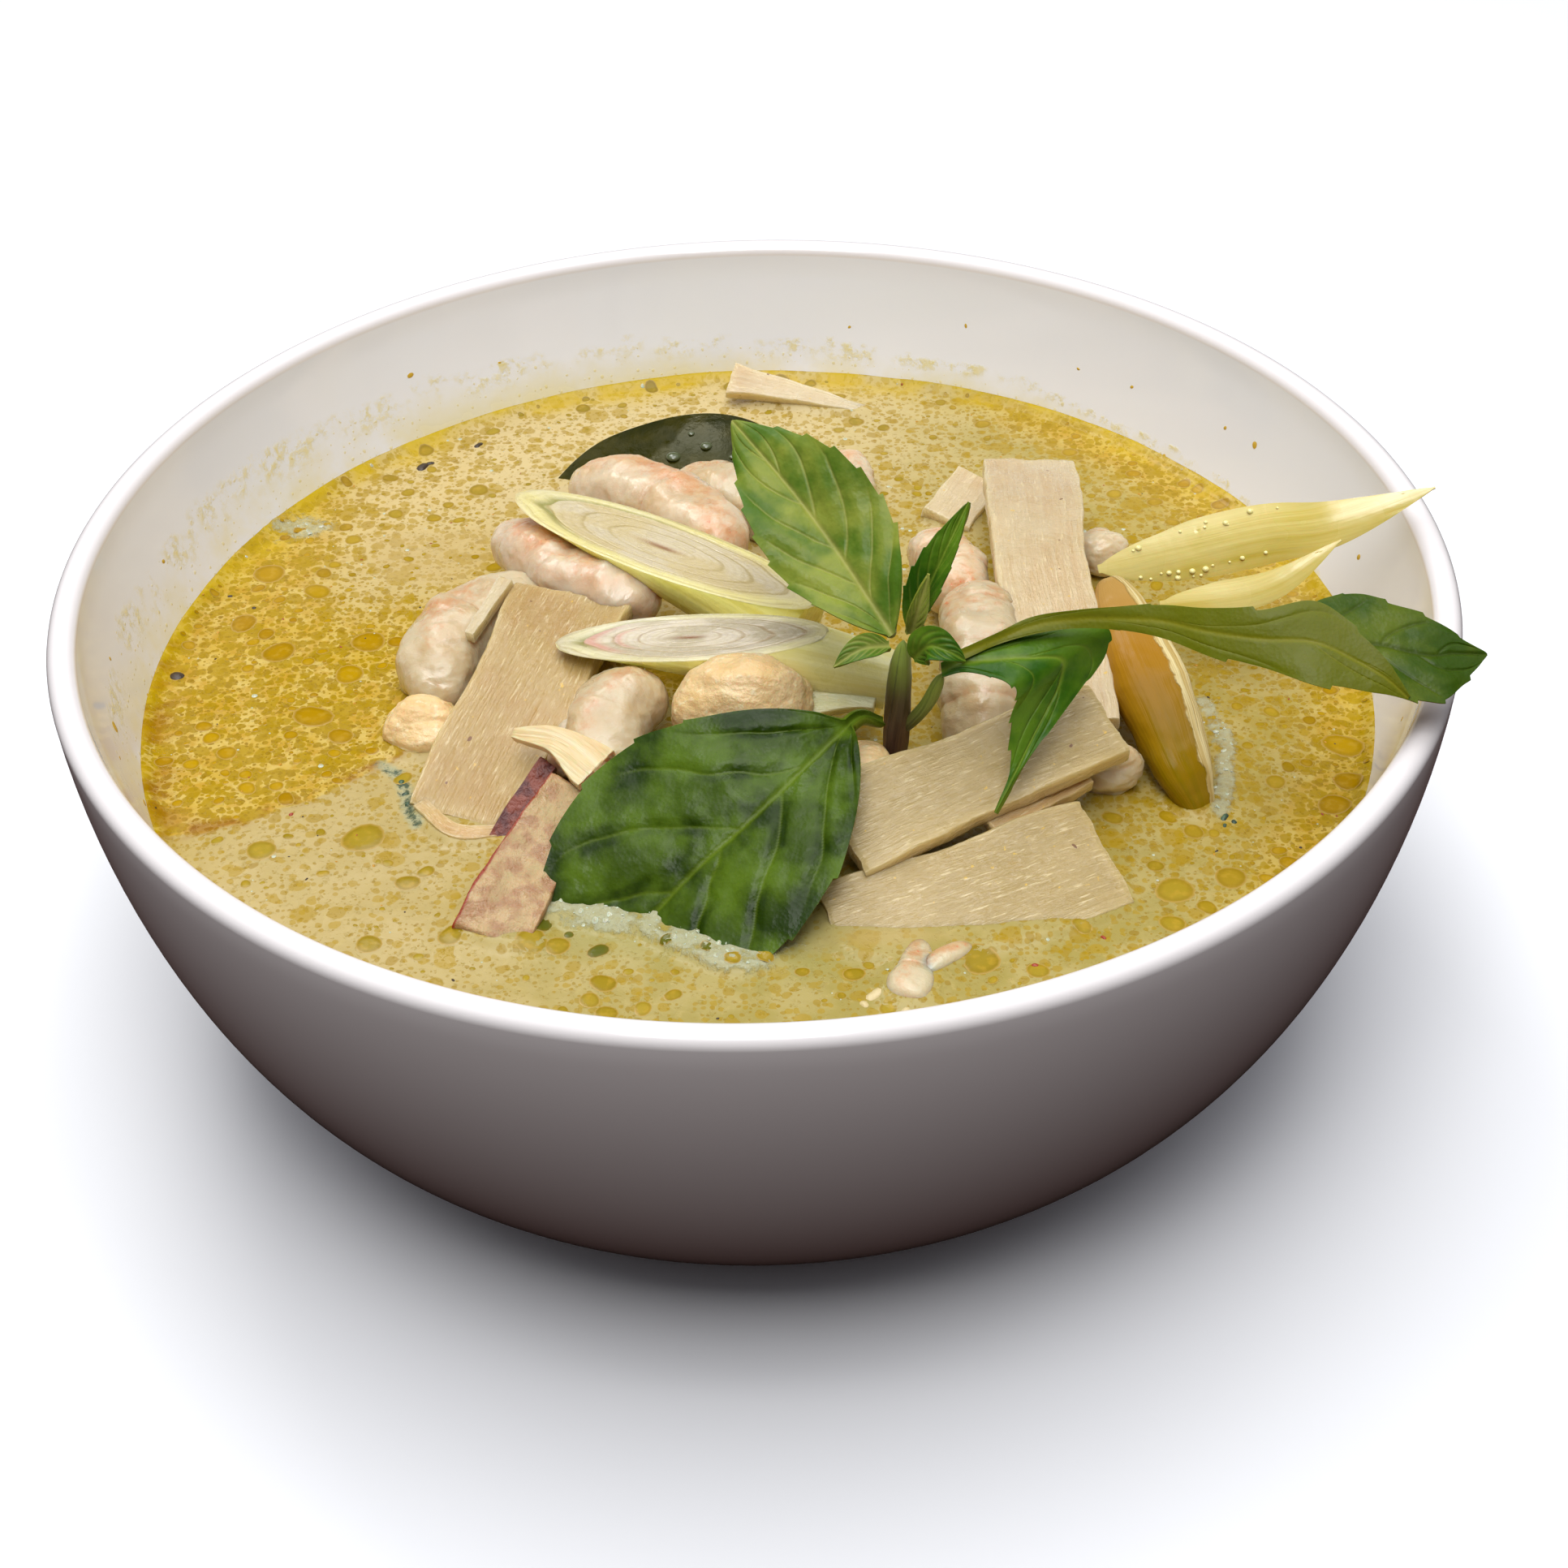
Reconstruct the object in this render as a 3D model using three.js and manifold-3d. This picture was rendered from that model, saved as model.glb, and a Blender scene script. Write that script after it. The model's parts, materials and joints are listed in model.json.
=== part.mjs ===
// A bowl of green curry with prawns, chicken, bamboo shoot, lemongrass and a sprig of basil.
// Millimetres, +Z up. The origin is the middle of the foot, on the surface that the bowl stands on.
// +X is the side that the long basil leaf reaches over, and -Y is the side with the large wet leaf.

import * as THREE from "three";
import { mergeVertices } from "three/addons/utils/BufferGeometryUtils.js";
import Module from "manifold-3d";

const wasm = await Module();
wasm.setup();

// Driving dimensions of the bowl
const BOWL_DIAMETER = 170;
const BOWL_HEIGHT = 68;
const LIP_RADIUS = 1.6; // the lip is a half round
const FOOT_RADIUS = 38;
const FOOT_HEIGHT = 4.2;
const FOOT_WIDTH = 3.5;
const RECESS_HEIGHT = 3; // the underside inside the foot ring
const FLOOR_HEIGHT = 9; // the inside of the bowl at its middle
const FLOOR_RADIUS = 33;
const OUTER_FLARE = { power: 1.71, curve: 0.37 }; // how the walls round inwards towards the bottom
const INNER_FLARE = { power: 1.1, curve: 0.33 };
const BOWL_SIDES = 48;
const WALL_STEPS = 7;
const LIP_ANGLES = [45, 90, 135];

// Driving dimensions of the food
const LEVEL = 49; // the surface of the curry
const GAP = 0.3; // clearance between neighbours
const LEAF_THICKNESS = 0.8;
const PETIOLE_HALF = 0.75; // half the width of a leaf's stalk
const TIP_HALF = 0.4; // half the width of a leaf's tip, which is the last tenth of it
const TIP_FROM = 0.9;
const BAMBOO_THICKNESS = 2.6;
const END_ROUNDING = 0.93; // share of a plump body's thickness that is gone at its two ends
const PINCH = 0.1; // share that is gone between two segments

// The finish of each kind of thing
const finish = (color, roughness) => new THREE.MeshStandardMaterial({ color, roughness });
const PORCELAIN = finish(0xece9e8, 0.12);
const CURRY = finish(0xd2b97c, 0.25);
const BAMBOO = finish(0xe3c793, 0.4);
const PRAWN = finish(0xe9c9ae, 0.35);
const CHICKEN = finish(0xe6c994, 0.5);
const LEMONGRASS = finish(0xe4e0a8, 0.4);
const BASIL = finish(0x4d7a2c, 0.4);
const LIME = finish(0x3a4426, 0.25);

const vector = ([x, y, z]) => new THREE.Vector3(x, y, z);
const mix = THREE.MathUtils.lerp;
const UP = new THREE.Vector3(0, 0, 1);

// Makes a seeded draw of numbers from 0 to 1, so that the food is uneven in the same way each time.
function draw(seed) {
  let state = seed;
  return () => {
    state = (Math.imul(state, 1664525) + 1013904223) >>> 0;
    return state / 2 ** 32;
  };
}

// A solid from points and triangles, turned so that its faces point outwards.
function solid(points, triangles) {
  const build = (order) =>
    new wasm.Manifold(
      new wasm.Mesh({
        numProp: 3,
        vertProperties: new Float32Array(points),
        triVerts: new Uint32Array(order),
      }),
    );
  const made = build(triangles);
  return made.volume() > 0 ? made : build(triangles.reverse());
}

// A solid from a three.js geometry, once its seams are merged and its empty triangles dropped.
function solidOf(geometry) {
  geometry.deleteAttribute("normal");
  geometry.deleteAttribute("uv");
  const merged = mergeVertices(geometry, 1e-4);
  const triangles = [];
  for (let i = 0; i < merged.index.count; i += 3) {
    const [a, b, c] = [0, 1, 2].map((k) => merged.index.getX(i + k));
    if (a !== b && b !== c && c !== a) triangles.push(a, b, c);
  }
  return solid(merged.attributes.position.array, triangles);
}

// A closed skin over rings of equal length. Each end is capped by a ladder between the ring's halves.
function skin(rings) {
  const n = rings[0].length;
  const triangles = [];
  const quad = (a, b, c, d) => triangles.push(a, b, c, a, c, d);
  for (let i = 0; i + 1 < rings.length; i++) {
    for (let j = 0; j < n; j++) {
      const next = (j + 1) % n;
      quad(i * n + j, i * n + next, (i + 1) * n + next, (i + 1) * n + j);
    }
  }
  const last = (rings.length - 1) * n;
  for (let j = 0; j + 1 < n / 2; j++) {
    quad(j + 1, j, n - 1 - j, n - 2 - j);
    quad(last + j, last + j + 1, last + n - 2 - j, last + n - 1 - j);
  }
  return solid(rings.flat().flatMap((p) => p.toArray()), triangles);
}

// The value at a share u of a list of numbers or vectors, running evenly from each entry to the next.
function between(list, u) {
  const place = u * (list.length - 1);
  const i = Math.min(Math.floor(place), Math.max(list.length - 2, 0));
  const [a, b] = [list[i], list[i + 1] ?? list[i]];
  return typeof a === "number" ? mix(a, b, place - i) : vector(a).lerp(vector(b), place - i);
}

// A path through a few points, and the frame at a share u of it: the point, the direction,
// the way that the upper side looks there, taken from the list `faces`, and the side.
const pathOf = (points) => new THREE.CatmullRomCurve3(points.map(vector), false, "centripetal");
function frameAt(path, faces, u) {
  const point = path.getPointAt(u);
  const along = path.getTangentAt(u);
  const face = between(faces, u);
  face.addScaledVector(along, -face.dot(along)).normalize();
  return { point, along, face, side: along.clone().cross(face) };
}

// A thin piece along a rib. half(u) gives the half widths on its two sides, fold lifts both into a V,
// and the margins wave up and down along the piece. grow makes the same piece larger all round.
function ribbon({ rib, face, half, thick, fold = 0, wave = 0, waves = 3, steps }, grow) {
  const path = pathOf(rib);
  const reach = thick / 2 + grow;
  const rings = [];
  for (let i = 0; i <= steps[0]; i++) {
    const u = i / steps[0];
    const frame = frameAt(path, face, u);
    frame.point.addScaledVector(frame.along, grow * (2 * u - 1));
    const widths = half(u);
    const lift = wave * Math.sin(waves * Math.PI * u);
    const upper = [];
    const lower = [];
    for (let j = 0; j <= steps[1]; j++) {
      const v = (2 * j) / steps[1] - 1;
      const hand = Math.sign(v);
      const out = (widths[v < 0 ? 0 : 1] + grow) * Math.abs(v);
      const middle = frame.point
        .clone()
        .addScaledVector(frame.side, hand * out * Math.cos(fold))
        .addScaledVector(frame.face, out * Math.sin(fold) + lift * v * v);
      const normal = frame.face
        .clone()
        .multiplyScalar(Math.cos(fold * v))
        .addScaledVector(frame.side, -Math.sin(fold * v));
      upper.push(middle.clone().addScaledVector(normal, reach));
      lower.unshift(middle.clone().addScaledVector(normal, -reach));
    }
    rings.push([...upper, ...lower]);
  }
  return skin(rings);
}

// A leaf: a stalk for the share `petiole` of the rib, then a blade that is widest at the share `widest`
// of itself. A lower `full` makes the blade fuller towards both of its ends.
const leaf = ({ width, petiole = 0, widest = 0.4, full = 0.85, steps = [12, 4], ...rest }) => (grow) => {
  const bend = Math.log(0.5) / Math.log(widest);
  const half = (u) => {
    const s = THREE.MathUtils.clamp((u - petiole) / (1 - petiole), 0, 1);
    const blade = Math.max(Math.sin(Math.PI * s ** bend), 0) ** full;
    return width.map((w) => Math.max(u < TIP_FROM ? PETIOLE_HALF : TIP_HALF, w * blade));
  };
  return ribbon({ half, thick: LEAF_THICKNESS, steps, ...rest }, grow);
};

// A leaf that folds over across its rib, so it is given by its two margins, whose points go in pairs.
const foldedOver = ({ front, back, steps }) => (grow) => {
  const margins = [pathOf(front), pathOf(back)];
  const at = (u, w) => {
    const [a, b] = margins.map((margin) => margin.getPoint(THREE.MathUtils.clamp(u, 0, 1)));
    return a.lerp(b, 0.5 + (w - 0.5) * (1 + (2 * grow) / a.distanceTo(b)));
  };
  const rings = [];
  for (let i = 0; i <= steps[0]; i++) {
    const u = i / steps[0];
    const upper = [];
    const lower = [];
    for (let j = 0; j <= steps[1]; j++) {
      const w = j / steps[1];
      const along = at(u + 0.02, w).sub(at(u - 0.02, w)).normalize();
      const normal = along.clone().cross(at(u, 1).sub(at(u, 0))).normalize();
      const middle = at(u, w).addScaledVector(along, grow * (2 * u - 1));
      upper.push(middle.clone().addScaledVector(normal, LEAF_THICKNESS / 2 + grow));
      lower.unshift(middle.clone().addScaledVector(normal, -LEAF_THICKNESS / 2 - grow));
    }
    rings.push([...upper, ...lower]);
  }
  return skin(rings);
};

// A slice: a bent slab with square ends, whose half width follows the list `width`.
const slice = ({ width, thick = BAMBOO_THICKNESS, steps = [6, 3], ...rest }) => (grow) => {
  const half = (u) => {
    const w = between(width, u) * (1 + 0.03 * Math.sin(9 * u + width[0]));
    return [w, w];
  };
  return ribbon({ half, thick, steps, ...rest }, grow);
};

// A plump body along a path, such as a curled prawn: round at both ends, pinched between its segments,
// and as thick along the path as the list `taper` says.
const body = ({ path, segments = 0, sides = 10, steps = 10, ...rest }) => (grow) => {
  const { radius, flat = 0.9, taper = [1, 1] } = rest;
  const curve = pathOf(path);
  const rings = [];
  for (let i = 0; i <= steps; i++) {
    const u = 0.5 - 0.5 * Math.cos((Math.PI * i) / steps);
    const frame = frameAt(curve, [UP.toArray()], u);
    frame.point.addScaledVector(frame.along, grow * (2 * u - 1));
    const round = Math.sqrt(1 - END_ROUNDING * (2 * u - 1) ** 4);
    const pinch = segments ? 1 - PINCH * Math.abs(Math.cos(Math.PI * segments * u)) ** 6 : 1;
    const r = radius * between(taper, u) * round * pinch;
    const ring = [];
    for (let j = 0; j < sides; j++) {
      const turn = (2 * Math.PI * j) / sides;
      const edge = frame.point.clone().addScaledVector(frame.side, (r + grow) * Math.cos(turn));
      ring.push(edge.addScaledVector(frame.face, (r * flat + grow) * Math.sin(turn)));
    }
    rings.push(ring);
  }
  return skin(rings);
};

// A torn chunk: a ball with the three half sizes given, raised and sunk by a few seeded waves.
const chunk = ({ at, size, turn = 0, rough = 0.2, seed, detail = 2 }) => (grow) => {
  const random = draw(seed);
  const waves = Array.from({ length: 5 }, () => ({
    way: vector([random() - 0.5, random() - 0.5, random() - 0.5]).setLength(2 + 3 * random()),
    phase: 2 * Math.PI * random(),
  }));
  const geometry = new THREE.IcosahedronGeometry(1, detail);
  const positions = geometry.attributes.position;
  for (let i = 0; i < positions.count; i++) {
    const p = vector([positions.getX(i), positions.getY(i), positions.getZ(i)]);
    const bump = waves.reduce((sum, w) => sum + Math.sin(w.way.dot(p) + w.phase), 0) / waves.length;
    const out = vector(size).multiplyScalar(1 + rough * bump).addScalar(grow);
    p.multiply(out).applyAxisAngle(UP, turn).add(vector(at));
    positions.setXYZ(i, p.x, p.y, p.z);
  }
  return solidOf(geometry);
};

// A length of stalk cut slantwise: its cut face runs from a low tip to a high end, each a point of the
// stalk's skin, and its far end is square. The stalk's axis follows from the face and the radius.
const stalk = ({ tip, end, radius, length, sides = 20, steps = 5 }) => (grow) => {
  const face = vector(end).sub(vector(tip));
  const slant = Math.sqrt(face.lengthSq() / 4 - radius[0] ** 2);
  const lean = Math.atan2(radius[0], slant);
  const middle = vector(tip).addScaledVector(face, 0.5);
  const way = face.clone().normalize();
  const high = UP.clone().addScaledVector(way, -UP.dot(way)).normalize();
  const axis = way.clone().multiplyScalar(Math.cos(lean)).addScaledVector(high, -Math.sin(lean));
  const top = way.clone().multiplyScalar(Math.sin(lean)).addScaledVector(high, Math.cos(lean));
  const side = axis.clone().cross(top);
  const rings = [];
  for (let i = 0; i <= steps; i++) {
    const w = i / steps;
    const ring = [];
    for (let j = 0; j < sides; j++) {
      const turn = (2 * Math.PI * (j + 0.5)) / sides;
      const start = slant * Math.cos(turn) - grow / Math.sin(lean);
      const r = mix(radius[0], radius[1], w) + grow;
      const point = middle.clone().addScaledVector(axis, mix(start, length + grow, w));
      point.addScaledVector(top, r * Math.cos(turn));
      ring.push(point.addScaledVector(side, r * Math.sin(turn)));
    }
    rings.push(ring);
  }
  return skin(rings);
};

// Several makers whose solids are one piece.
const joined = (...makers) => (grow) => makers.map((make) => make(grow)).reduce((a, b) => a.add(b));

// A turned solid about the Z axis from its profile of [radius, height] points.
function turned(profile) {
  const points = profile.map(([r, z]) => new THREE.Vector2(r, z));
  return solidOf(new THREE.LatheGeometry(points, BOWL_SIDES).rotateX(Math.PI / 2));
}

// The radius of each of the bowl's walls at a share t of its depth, from the rim down.
const flared = (bottom, top, { power, curve }) => (t) => mix(bottom, top, (1 - t ** power) ** curve);
const outerDepth = BOWL_HEIGHT - FOOT_HEIGHT;
const innerDepth = BOWL_HEIGHT - FLOOR_HEIGHT;
const outerRadius = flared(FOOT_RADIUS + 1, BOWL_DIAMETER / 2, OUTER_FLARE);
const innerRadius = flared(FLOOR_RADIUS, BOWL_DIAMETER / 2 - 2 * LIP_RADIUS, INNER_FLARE);

// Points down one wall from just under the lip, closer together towards the bottom, where it turns in.
function wall(radiusAt, depth) {
  const first = LIP_RADIUS / depth;
  return Array.from({ length: WALL_STEPS + 1 }, (_, i) => {
    const t = first + (1 - first) * (1 - (1 - i / WALL_STEPS) ** 2.2);
    return [radiusAt(Math.min(t, 1)), BOWL_HEIGHT - depth * t];
  });
}

function bowl() {
  const outside = wall(outerRadius, outerDepth).reverse();
  const inside = wall(innerRadius, innerDepth);
  const lipCentre = (outside.at(-1)[0] + inside[0][0]) / 2;
  const lipHalf = (outside.at(-1)[0] - inside[0][0]) / 2;
  const lip = LIP_ANGLES.map((degrees) => {
    const turn = THREE.MathUtils.degToRad(degrees);
    return [lipCentre + lipHalf * Math.cos(turn), BOWL_HEIGHT - LIP_RADIUS * (1 - Math.sin(turn))];
  });
  const foot = [
    [0, RECESS_HEIGHT],
    [FOOT_RADIUS - FOOT_WIDTH - 1, RECESS_HEIGHT],
    [FOOT_RADIUS - FOOT_WIDTH, 0],
    [FOOT_RADIUS, 0],
  ];
  return turned([...foot, ...outside, ...lip, ...inside, [0, FLOOR_HEIGHT]]);
}

// The curry fills the bowl up to its level, clear of the wall, before the food is cut out of it.
function curry() {
  const below = wall(innerRadius, innerDepth).filter(([, z]) => z < LEVEL - 1);
  const brim = [innerRadius((BOWL_HEIGHT - LEVEL) / innerDepth) - GAP, LEVEL];
  const side = below.map(([r, z]) => [r - GAP, z + GAP]);
  return turned([[0, LEVEL], brim, ...side, [0, FLOOR_HEIGHT + GAP]]);
}

// The food, from what lies on top to what lies underneath. Each piece is cut clear of those above it.
const TOWARDS_VIEW = [-0.2, -0.6, 0.78];
const FOOD = [
  // The sprig of basil
  {
    name: "basil_stem",
    look: BASIL,
    make: joined(
      body({
        path: [[16.1, -23.3, 52.5], [16.3, -23.6, 62], [16.8, -23.9, 71]],
        radius: 1.5,
        taper: [1.1, 0.85],
        flat: 1,
        sides: 8,
        steps: 6,
      }),
      body({
        path: [[16.8, -23.6, 58], [19.6, -25.6, 63.5], [21, -27.2, 68.6]],
        radius: 0.8,
        flat: 1,
        sides: 6,
        steps: 6,
      }),
    ),
  },
  {
    name: "basil_leaf_front",
    look: BASIL,
    make: leaf({
      rib: [
        [14.6, -24.6, 60.3],
        [11.8, -26.3, 62.3],
        [9.3, -29.1, 62],
        [-0.4, -38, 57.8],
        [-8, -42.6, 53],
        [-14.5, -46.6, 48],
        [-25, -52, 39],
      ],
      face: [[-0.1, -0.4, 0.9], [-0.13, -0.5, 0.86]],
      width: [13.8, 17],
      petiole: 0.11,
      widest: 0.48,
      full: 0.76,
      fold: 0.1,
      wave: 1,
      steps: [14, 6],
    }),
  },
  {
    name: "basil_leaf_droop",
    look: BASIL,
    make: foldedOver({
      front: [
        [21, -28.4, 69.2],
        [23.3, -28.4, 69.8],
        [26.2, -29.6, 70],
        [28.6, -31.2, 70],
        [29.3, -31.4, 68.9],
        [28.8, -31.9, 66.8],
        [28.5, -33, 64.2],
        [28.5, -34.4, 61.8],
        [28.1, -35.9, 59.9],
        [26.4, -38.3, 57.5],
      ],
      back: [
        [20.9, -27, 70.2],
        [23.4, -26.1, 70.8],
        [27.6, -25.4, 71.6],
        [33.4, -24.4, 72.2],
        [40.1, -23, 71.6],
        [40.1, -24.2, 69.2],
        [36.9, -27.6, 66.4],
        [32, -32.8, 62.9],
        [29.2, -36, 60.6],
        [27, -38.9, 57.8],
      ],
      steps: [18, 3],
    }),
  },
  {
    name: "basil_leaf_right",
    look: BASIL,
    make: joined(
      foldedOver({
        front: [
          [23.2, -27.5, 70.8],
          [27.4, -26.2, 72],
          [32.3, -25.9, 73.2],
          [36.3, -26.3, 74],
          [40.6, -27.8, 74.7],
          [45.1, -30.2, 75.2],
          [50.2, -34, 75.4],
          [55.7, -36.8, 75.4],
          [60.4, -39.4, 75.2],
          [64.3, -40.1, 74.8],
          [67.8, -40.6, 74.3],
          [70.6, -40.8, 73.6],
        ],
        back: [
          [23.2, -26.6, 71.8],
          [27, -25.6, 73],
          [31.2, -24.5, 74.4],
          [36.4, -25.1, 75.7],
          [40.7, -26.2, 76.7],
          [45.7, -27.7, 77.8],
          [50.1, -30.2, 78.8],
          [55.3, -32.1, 79.8],
          [61.4, -32, 80.6],
          [65.2, -34.8, 79],
          [68.4, -38, 77],
          [70.9, -40.7, 74.4],
        ],
        steps: [16, 4],
      }),
      foldedOver({
        front: [
          [63.1, -39.8, 74.9],
          [67, -40.5, 74.4],
          [70.2, -40.7, 73.7],
          [72.6, -40.8, 73.2],
          [74.9, -40.4, 73],
          [77.5, -37.7, 73.3],
          [79.5, -35.6, 73.8],
          [80.8, -34.2, 74],
        ],
        back: [
          [60, -29.6, 77],
          [63, -28.2, 78.2],
          [67.3, -27.6, 78.4],
          [70.3, -28.7, 77.9],
          [73.2, -29.9, 77.4],
          [75.9, -31.3, 76.6],
          [78.3, -32.9, 75.5],
          [80.7, -33.7, 74.6],
        ],
        steps: [10, 4],
      }),
    ),
  },
  {
    name: "basil_leaf_up",
    look: BASIL,
    make: leaf({
      rib: [[15.6, -23.2, 71.6], [9.6, -14.3, 77.5], [4.8, -7.8, 81.5], [-2.1, 1.2, 86]],
      face: [TOWARDS_VIEW],
      width: [7.2, 7.8],
      widest: 0.45,
      fold: 0.2,
      wave: 0.7,
      waves: 4,
      steps: [13, 4],
    }),
  },
  {
    name: "basil_leaf_folded",
    look: BASIL,
    make: leaf({
      rib: [[17.6, -22.2, 71.5], [20.4, -21, 78], [24.5, -16.5, 85]],
      face: [[-0.6, -0.7, 0.3], [-0.4, -0.8, 0.4]],
      width: [2.8, 2.8],
      fold: 0.7,
      steps: [10, 4],
    }),
  },
  {
    name: "basil_leaf_small",
    look: BASIL,
    make: leaf({
      rib: [[17.6, -24.3, 72.4], [18.4, -24.6, 76], [19.6, -23.6, 80]],
      face: [[0, -0.9, 0.3]],
      width: [1.3, 1.3],
      fold: 0.5,
      steps: [8, 4],
    }),
  },
  {
    name: "basil_leaf_tiny",
    look: BASIL,
    make: leaf({
      rib: [[15.2, -24.9, 71.4], [12, -26.2, 71.9], [8.7, -27.6, 70.6]],
      face: [[0, -0.5, 0.85]],
      width: [1.5, 1.7],
      fold: 0.3,
      steps: [8, 4],
    }),
  },
  {
    name: "basil_bud",
    look: BASIL,
    make: leaf({
      rib: [[17.8, -26, 70.2], [19.6, -27, 72.6], [21.8, -28, 72.4], [23.6, -28.4, 71.4]],
      face: [[0.1, -0.8, 0.6], [0, -0.5, 0.85]],
      width: [2.2, 2.2],
      fold: 0.4,
      steps: [8, 4],
    }),
  },
  // The lemongrass
  {
    name: "lemongrass_lower",
    look: LEMONGRASS,
    make: stalk({ tip: [-25, -4.9, 59], end: [8.4, -11.4, 64], radius: [5, 3.6], length: 25 }),
  },
  {
    name: "lemongrass_upper",
    look: LEMONGRASS,
    make: stalk({ tip: [-30.9, 23.6, 63], end: [7.2, -2.8, 62.2], radius: [5.8, 5.2], length: 22 }),
  },
  {
    name: "lemongrass_end",
    look: LEMONGRASS,
    make: slice({
      rib: [[5.5, -14.5, 57], [10, -15, 57], [14.2, -16.2, 56.4]],
      face: [[0, -0.5, 0.85]],
      width: [3.4, 0.8],
      thick: 1.8,
    }),
  },
  {
    name: "lemongrass_sheath",
    look: LEMONGRASS,
    make: joined(
      leaf({
        rib: [[43.4, 5.6, 60.4], [53, 4.6, 63.4], [63.5, 3, 67], [70.2, 0.4, 69.6], [83, 1, 74]],
        face: [[0.1, -0.75, 0.65], [-0.2, -0.7, 0.7]],
        width: [3.4, 4.2],
        fold: 0.35,
      }),
      leaf({
        rib: [[50.3, -1.6, 59.6], [62.8, -4.2, 63.6], [71.5, -2.4, 69]],
        face: [[0.1, -0.75, 0.65], [-0.2, -0.7, 0.7]],
        width: [2, 2],
        steps: [7, 2],
      }),
    ),
  },
  {
    name: "lemongrass_stalk",
    look: LEMONGRASS,
    make: body({
      path: [
        [44.2, 3.4, 60],
        [47, -13.2, 57],
        [48.8, -20.2, 54.5],
        [50.4, -25.8, 51.5],
        [53, -29.6, 45.5],
      ],
      radius: 4.6,
      flat: 0.75,
      taper: [0.75, 0.85, 1.05, 0.8, 0.4],
    }),
  },
  // The prawn that lies over the bamboo shoot on the left
  {
    name: "prawn_pink",
    look: PRAWN,
    make: body({
      path: [[-32.8, 25, 56.2], [-27.4, 16.2, 57], [-20, 8.8, 57.4], [-12.4, 5.4, 57]],
      radius: 5,
      taper: [0.8, 1],
      segments: 4,
    }),
  },
  // The bamboo shoot
  {
    name: "bamboo_front_upper",
    look: BAMBOO,
    make: slice({
      rib: [[9.1, -37.2, 53.8], [25, -30.6, 56.8], [41, -24.1, 58.8]],
      face: [[0, -0.33, 0.94]],
      width: [6.4, 5.2],
      wave: 0.5,
    }),
  },
  {
    name: "bamboo_front_middle",
    look: BAMBOO,
    make: slice({
      rib: [[26, -35.4, 52.8], [38, -28.6, 54.4]],
      face: [[0, -0.33, 0.94]],
      width: [2, 1.6],
      thick: 2,
    }),
  },
  {
    name: "bamboo_front_lower",
    look: BAMBOO,
    make: slice({
      rib: [[8.3, -49.4, 47.8], [24, -44.8, 49.8], [39.4, -38.9, 50.9]],
      face: [[0, -0.36, 0.93]],
      width: [7.2, 7.4],
      wave: 0.4,
    }),
  },
  {
    name: "bamboo_back",
    look: BAMBOO,
    make: slice({
      rib: [[37.8, 36.6, 56.6], [37, 21, 59.6], [36.2, 7.9, 60.2], [36.8, -6, 58.6], [37.2, -20.4, 55.6]],
      face: [[0, -0.25, 0.97], [0, -0.3, 0.95]],
      width: [6.3, 5.8],
      steps: [9, 3],
    }),
  },
  {
    name: "bamboo_back_low",
    look: BAMBOO,
    make: slice({
      rib: [[31.6, 43, 50.6], [26.4, 34, 49.4]],
      face: [[0.1, -0.2, 0.97]],
      width: [3.2, 3.6],
      steps: [3, 3],
    }),
  },
  {
    name: "bamboo_far_edge",
    look: BAMBOO,
    make: slice({
      rib: [[-2.6, 70.6, 52], [7, 68.6, 50.4], [17, 65.6, 48.7]],
      face: [[0, -0.45, 0.9], [0, -0.1, 1]],
      width: [2.6, 0.9],
      thick: 1.6,
    }),
  },
  {
    name: "bamboo_left",
    look: BAMBOO,
    make: slice({
      rib: [[-22.8, 6.2, 57.8], [-28.6, -10.2, 55], [-36.2, -26.4, 48.6]],
      face: [[-0.08, -0.24, 0.96], [-0.08, -0.3, 0.95]],
      width: [7.9, 6.4],
      wave: 0.6,
    }),
  },
  {
    name: "bamboo_left_strip",
    look: BAMBOO,
    make: slice({
      rib: [[-31.4, 8, 59.4], [-35.6, -1.4, 57.6]],
      face: [[-0.1, -0.3, 0.95]],
      width: [1, 0.7],
      thick: 1.6,
      steps: [3, 2],
    }),
  },
  {
    name: "bamboo_curl",
    look: BAMBOO,
    make: slice({
      rib: [[-40.6, -24.4, 49.6], [-36, -29.6, 49.4], [-30.4, -29.6, 49]],
      face: [[0, -0.3, 0.95]],
      width: [0.9, 0.9],
      thick: 1.5,
      steps: [6, 2],
    }),
  },
  {
    name: "onion_shred",
    look: BAMBOO,
    make: slice({
      rib: [[-29, -20.6, 56.8], [-24, -22.8, 57.4], [-19, -27.6, 56.6]],
      face: [[0, -0.45, 0.88]],
      width: [0.6, 3.1],
      thick: 1.3,
    }),
  },
  // The other prawns
  {
    name: "prawn_left",
    look: PRAWN,
    make: body({
      path: [
        [-39.8, -7, 51.4],
        [-39.4, 0.8, 52.8],
        [-36.2, 6.8, 53.4],
        [-30.4, 9.6, 53.4],
        [-24, 8.8, 52],
      ],
      radius: 5.6,
      taper: [0.95, 1],
      segments: 5,
    }),
  },
  {
    name: "prawn_top",
    look: PRAWN,
    make: body({
      path: [[-24.4, 38.4, 54.6], [-16, 33.6, 56], [-8.6, 27, 56], [-1.8, 19.6, 55]],
      radius: 5.4,
      taper: [0.95, 0.95],
      segments: 4,
    }),
  },
  {
    name: "prawn_pale",
    look: PRAWN,
    make: body({
      path: [[-12, 40, 52.4], [-4, 37.8, 53], [4.4, 32, 52.6], [10, 24, 52.4]],
      radius: 4.4,
      segments: 3,
    }),
  },
  {
    name: "prawn_centre",
    look: PRAWN,
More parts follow.
